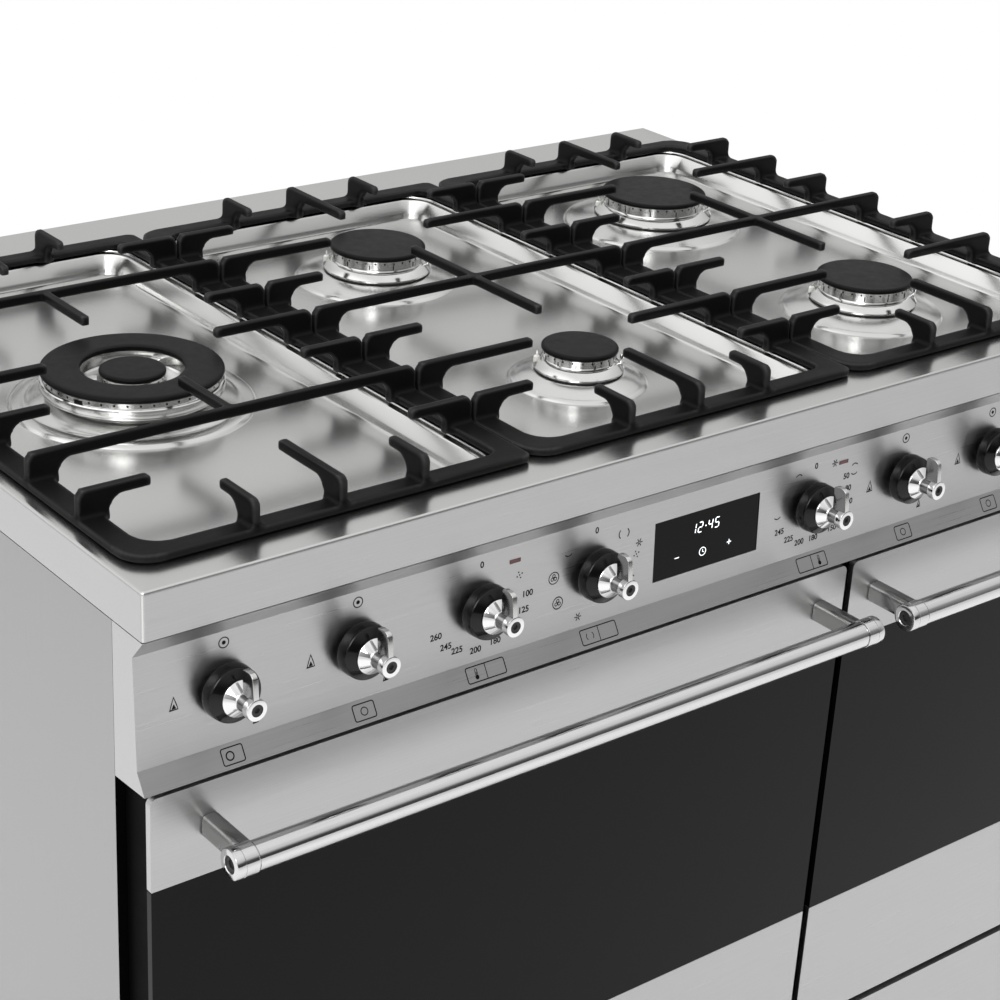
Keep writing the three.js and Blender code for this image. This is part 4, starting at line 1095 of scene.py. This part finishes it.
def build_marks():
    """Figures and signs beside each knob, the framed signs under it and the two red lamps."""
    shapes = []
    for name, x in KNOBS.items():
        for dx, dz, mark in FACE_MARKS.get(name, GAS_MARKS):
            shapes.append(on_face(mark, x + dx, KNOB_Z + dz, INK_LIFT))
        shapes.append(on_lip(LIP_SIGNS.get(name, RING_SIGN), x + LIP_SHIFT))
    piece("panel_marks", merge(*shapes), ink_and_hole_shade, smooth=0)
    lamp = box(-4.5, 4.5, -1.4, 1.4, -0.3, 0.35)
    lamps = [on_panel(lamp, KNOBS[name] + dx, KNOB_Z + LAMP_RISE)
             for name, dx in (("main_oven_heat", 27), ("side_oven", 31))]
    piece("oven_lamps_red", merge(*lamps), lamp_red, bevel=0.2)


SEGMENTS = {"1": "bc", "2": "abged", "4": "fgbc", "5": "afgcd"}


def digit(char, width=3.6, height=7.2, lean=0.14):
    """A figure of straight bars, leaning a little."""
    w, h = width / 2, height / 2
    lines = {"a": ((-w, h), (w, h)), "b": ((w, h), (w, 0)), "c": ((w, 0), (w, -h)),
             "d": ((-w, -h), (w, -h)), "e": ((-w, 0), (-w, -h)), "f": ((-w, h), (-w, 0)),
             "g": ((-w, 0), (w, 0))}
    shapes = []
    for key in SEGMENTS[char]:
        (x0, y0), (x1, y1) = lines[key]
        gap = 0.35 / max(abs(x1 - x0), abs(y1 - y0))
        tips = [(x0 + (x1 - x0) * t, y0 + (y1 - y0) * t) for t in (gap, 1 - gap)]
        shapes.append(stroke([(x + lean * y, y) for x, y in tips], 0.75, False))
    return merge(*shapes)


def build_display():
    """The lit time, with a minus, a clock and a plus under it."""
    shapes = [slide(digit(char), x, 9) for char, x in (("1", -12.4), ("2", -6.2), ("4", 3.2), ("5", 9.4))]
    shapes += [disc(-1.2, 9, 0.55), stroke([(-29, -9), (-25, -9)], 0.6, False), ring(-3, -10, 3, 0.5),
               stroke([(-3, -8.2), (-3, -10), (-1.7, -10.8)], 0.45, False),
               stroke([(20, -9), (24, -9)], 0.6, False), stroke([(22, -11), (22, -7)], 0.6, False)]
    flat = [on_face(shape, 0, KNOB_Z, -0.45) for shape in shapes]
    piece("clock_figures", merge(*flat), white_glow, smooth=0)


build_marks()
build_display()


# ---- feet and drawer
LEG = [(0, 0), (17, 0), (18.6, 0.6), (19, 2), (19, 13), (18.4, 14.4), (15.4, 16.6), (15, 17.6), (15, 69),
       (14.4, 70), (8.4, 70), (8, 70.6), (8, 128), (25.4, 128.2), (26, 128.8), (26, 131.2), (25.4, 131.7),
       (0, 131.7)]
for end, y in (("front", 98), ("rear", 540)):
    for side, x in (("left", -390), ("right", 390)):
        name = end + "_" + side
        piece("leg_" + name, shift(lathe(LEG, 48), x, y), steel_round, "casing",
              ("foot_" + name,), 32)


# ---- finish of the CAD nodes
def paint_front_edge_shade(node):
    """The front edge of a side panel, in the gap beside the doors, is painted black as shade."""
    turn = node.matrix_world.to_3x3()
    second_finish(node, liner_black, lambda face: (turn @ face.normal).y < -0.9)


# material, rounding of the edges, nodes
FINISHES = (
    (steel_x, 0.8, ("main_door_top_trim", "main_door_bottom_trim", "side_door_top_trim",
                    "side_door_bottom_trim", "drawer_front")),
    (steel_x, 0.7, ("control_panel",)),
    (steel_z, 0.5, ("side_panel_left", "side_panel_right")),
    (zinc, 0.4, ("base_tray", "drawer_box")),
    (zinc, 0.3, ("back_panel",)),
    (zinc, 0, ("oven_switches", "main_oven_fan", "main_door_hinge", "side_door_hinge")),
    (liner_black, 0.5, ("main_door_liner", "side_door_liner")),
    (liner_black, 0.4, ("front_frame",)),
    (oven_enamel, 0.4, ("main_oven_cavity", "side_oven_cavity")),
    (glass_black, 0.4, ("main_door_glass", "side_door_glass")),
    (glass_black, 0.3, ("clock_display",)),
    (brass, 0, ("gas_rail",)),
)
for material, edge, names in FINISHES:
    for name in names:
        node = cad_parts[name]
        node.data.materials.clear()
        node.data.materials.append(material)
        if edge:
            add_bevel(node, edge, 2)
for side in ("left", "right"):
    paint_front_edge_shade(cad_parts["side_panel_" + side])


# ---- floor, background and lights
FLOOR_REACH = 30
FADE_FROM, FADE_TO = 1, 2.3


def floor_finish():
    """Pale paper that takes the shadow near the cooker and runs out into the white backdrop further off."""
    made = Shader("floor_pale", (0.86, 0.86, 0.86), 0.65, gleam=0.1)
    made.tint(made.noise(3), (0.85,) * 3, (0.86,) * 3)
    where = made.node("TexCoord")
    far = made.node("VectorMath", operation="LENGTH")
    made.link(where, "Object", far, "Vector")
    fade = made.spread(far, 0, 1, "Value", FADE_FROM, FADE_TO)
    seen = made.combine("MULTIPLY", fade, "Result", made.node("LightPath"), "Is Camera Ray")
    paper = made.node("Emission", Color=(1, 1, 1, 1), Strength=1)
    made.mix((seen, 0), made.shader, paper, "Material Output")
    return made.material


def build_floor():
    mesh = bpy.data.meshes.new("floor")
    far = FLOOR_REACH
    mesh.from_pydata([(-far, -far, 0), (far, -far, 0), (far, far, 0), (-far, far, 0)], [], [(0, 1, 2, 3)])
    floor = add("floor", mesh)
    mesh.materials.append(floor_finish())


def build_world():
    """White behind the cooker; reflections show a room dark low in front and bright on the left."""
    world = bpy.data.worlds.new("studio")
    bpy.context.scene.world = world
    room = Graph(world)
    upright = room.node("SeparateXYZ")
    room.link(room.node("TexCoord"), "Generated", upright, "Vector")
    walls = room.node("ValToRGB")
    stops = walls.color_ramp.elements
    stops[0].color = (0.42, 0.42, 0.42, 1)
    for height, shade in ((0.3, 0.64), (0.6, 0.82), (0.8, 1)):
        stops.new(height).color = (shade, shade, shade, 1)
    room.link(upright, "Z", walls, "Fac")
    front = room.spread(upright, 0.1, 1, "Y", -0.85, -0.35)
    low = room.spread(upright, 0.1, 1, "Z", 0.28, 0.52)
    near_front = room.combine("MAXIMUM", front, 0, low, 0)
    left_wall = room.spread(upright, 1, 1.9, "X", -0.25, -0.7)
    mirrored = room.node("Background")
    room.link(walls, "Color", mirrored, "Color")
    room.link(room.combine("MULTIPLY", near_front, 0, left_wall, 0), 0, mirrored, "Strength")
    white = room.node("Background", Color=(1, 1, 1, 1), Strength=1)
    room.mix((room.node("LightPath"), "Is Camera Ray"), mirrored, white, "World Output")


def soft_light(name, place, target, width, height, power, mirrored_too=True):
    data = bpy.data.lights.new(name, "AREA")
    data.shape = "RECTANGLE"
    data.size, data.size_y = width, height
    data.energy = power
    obj = add(name, data)
    obj.location = place
    obj.rotation_mode = "QUATERNION"
    obj.rotation_quaternion = (Vector(target) - Vector(place)).to_track_quat("-Z", "Y")
    obj.visible_glossy = mirrored_too


build_floor()
build_world()
soft_light("key", (-2.4, -2.2, 2.8), (0, 0, 0.8), 1.4, 1.8, 34)
soft_light("overhead", (0.2, 0.2, 3.2), (0, 0, 0.9), 2.8, 2.4, 42, False)
soft_light("rear", (2.2, 2.8, 1.9), (0.2, 0, 0.9), 2.2, 1, 14, False)
bpy.context.scene.view_settings.view_transform = "Standard"
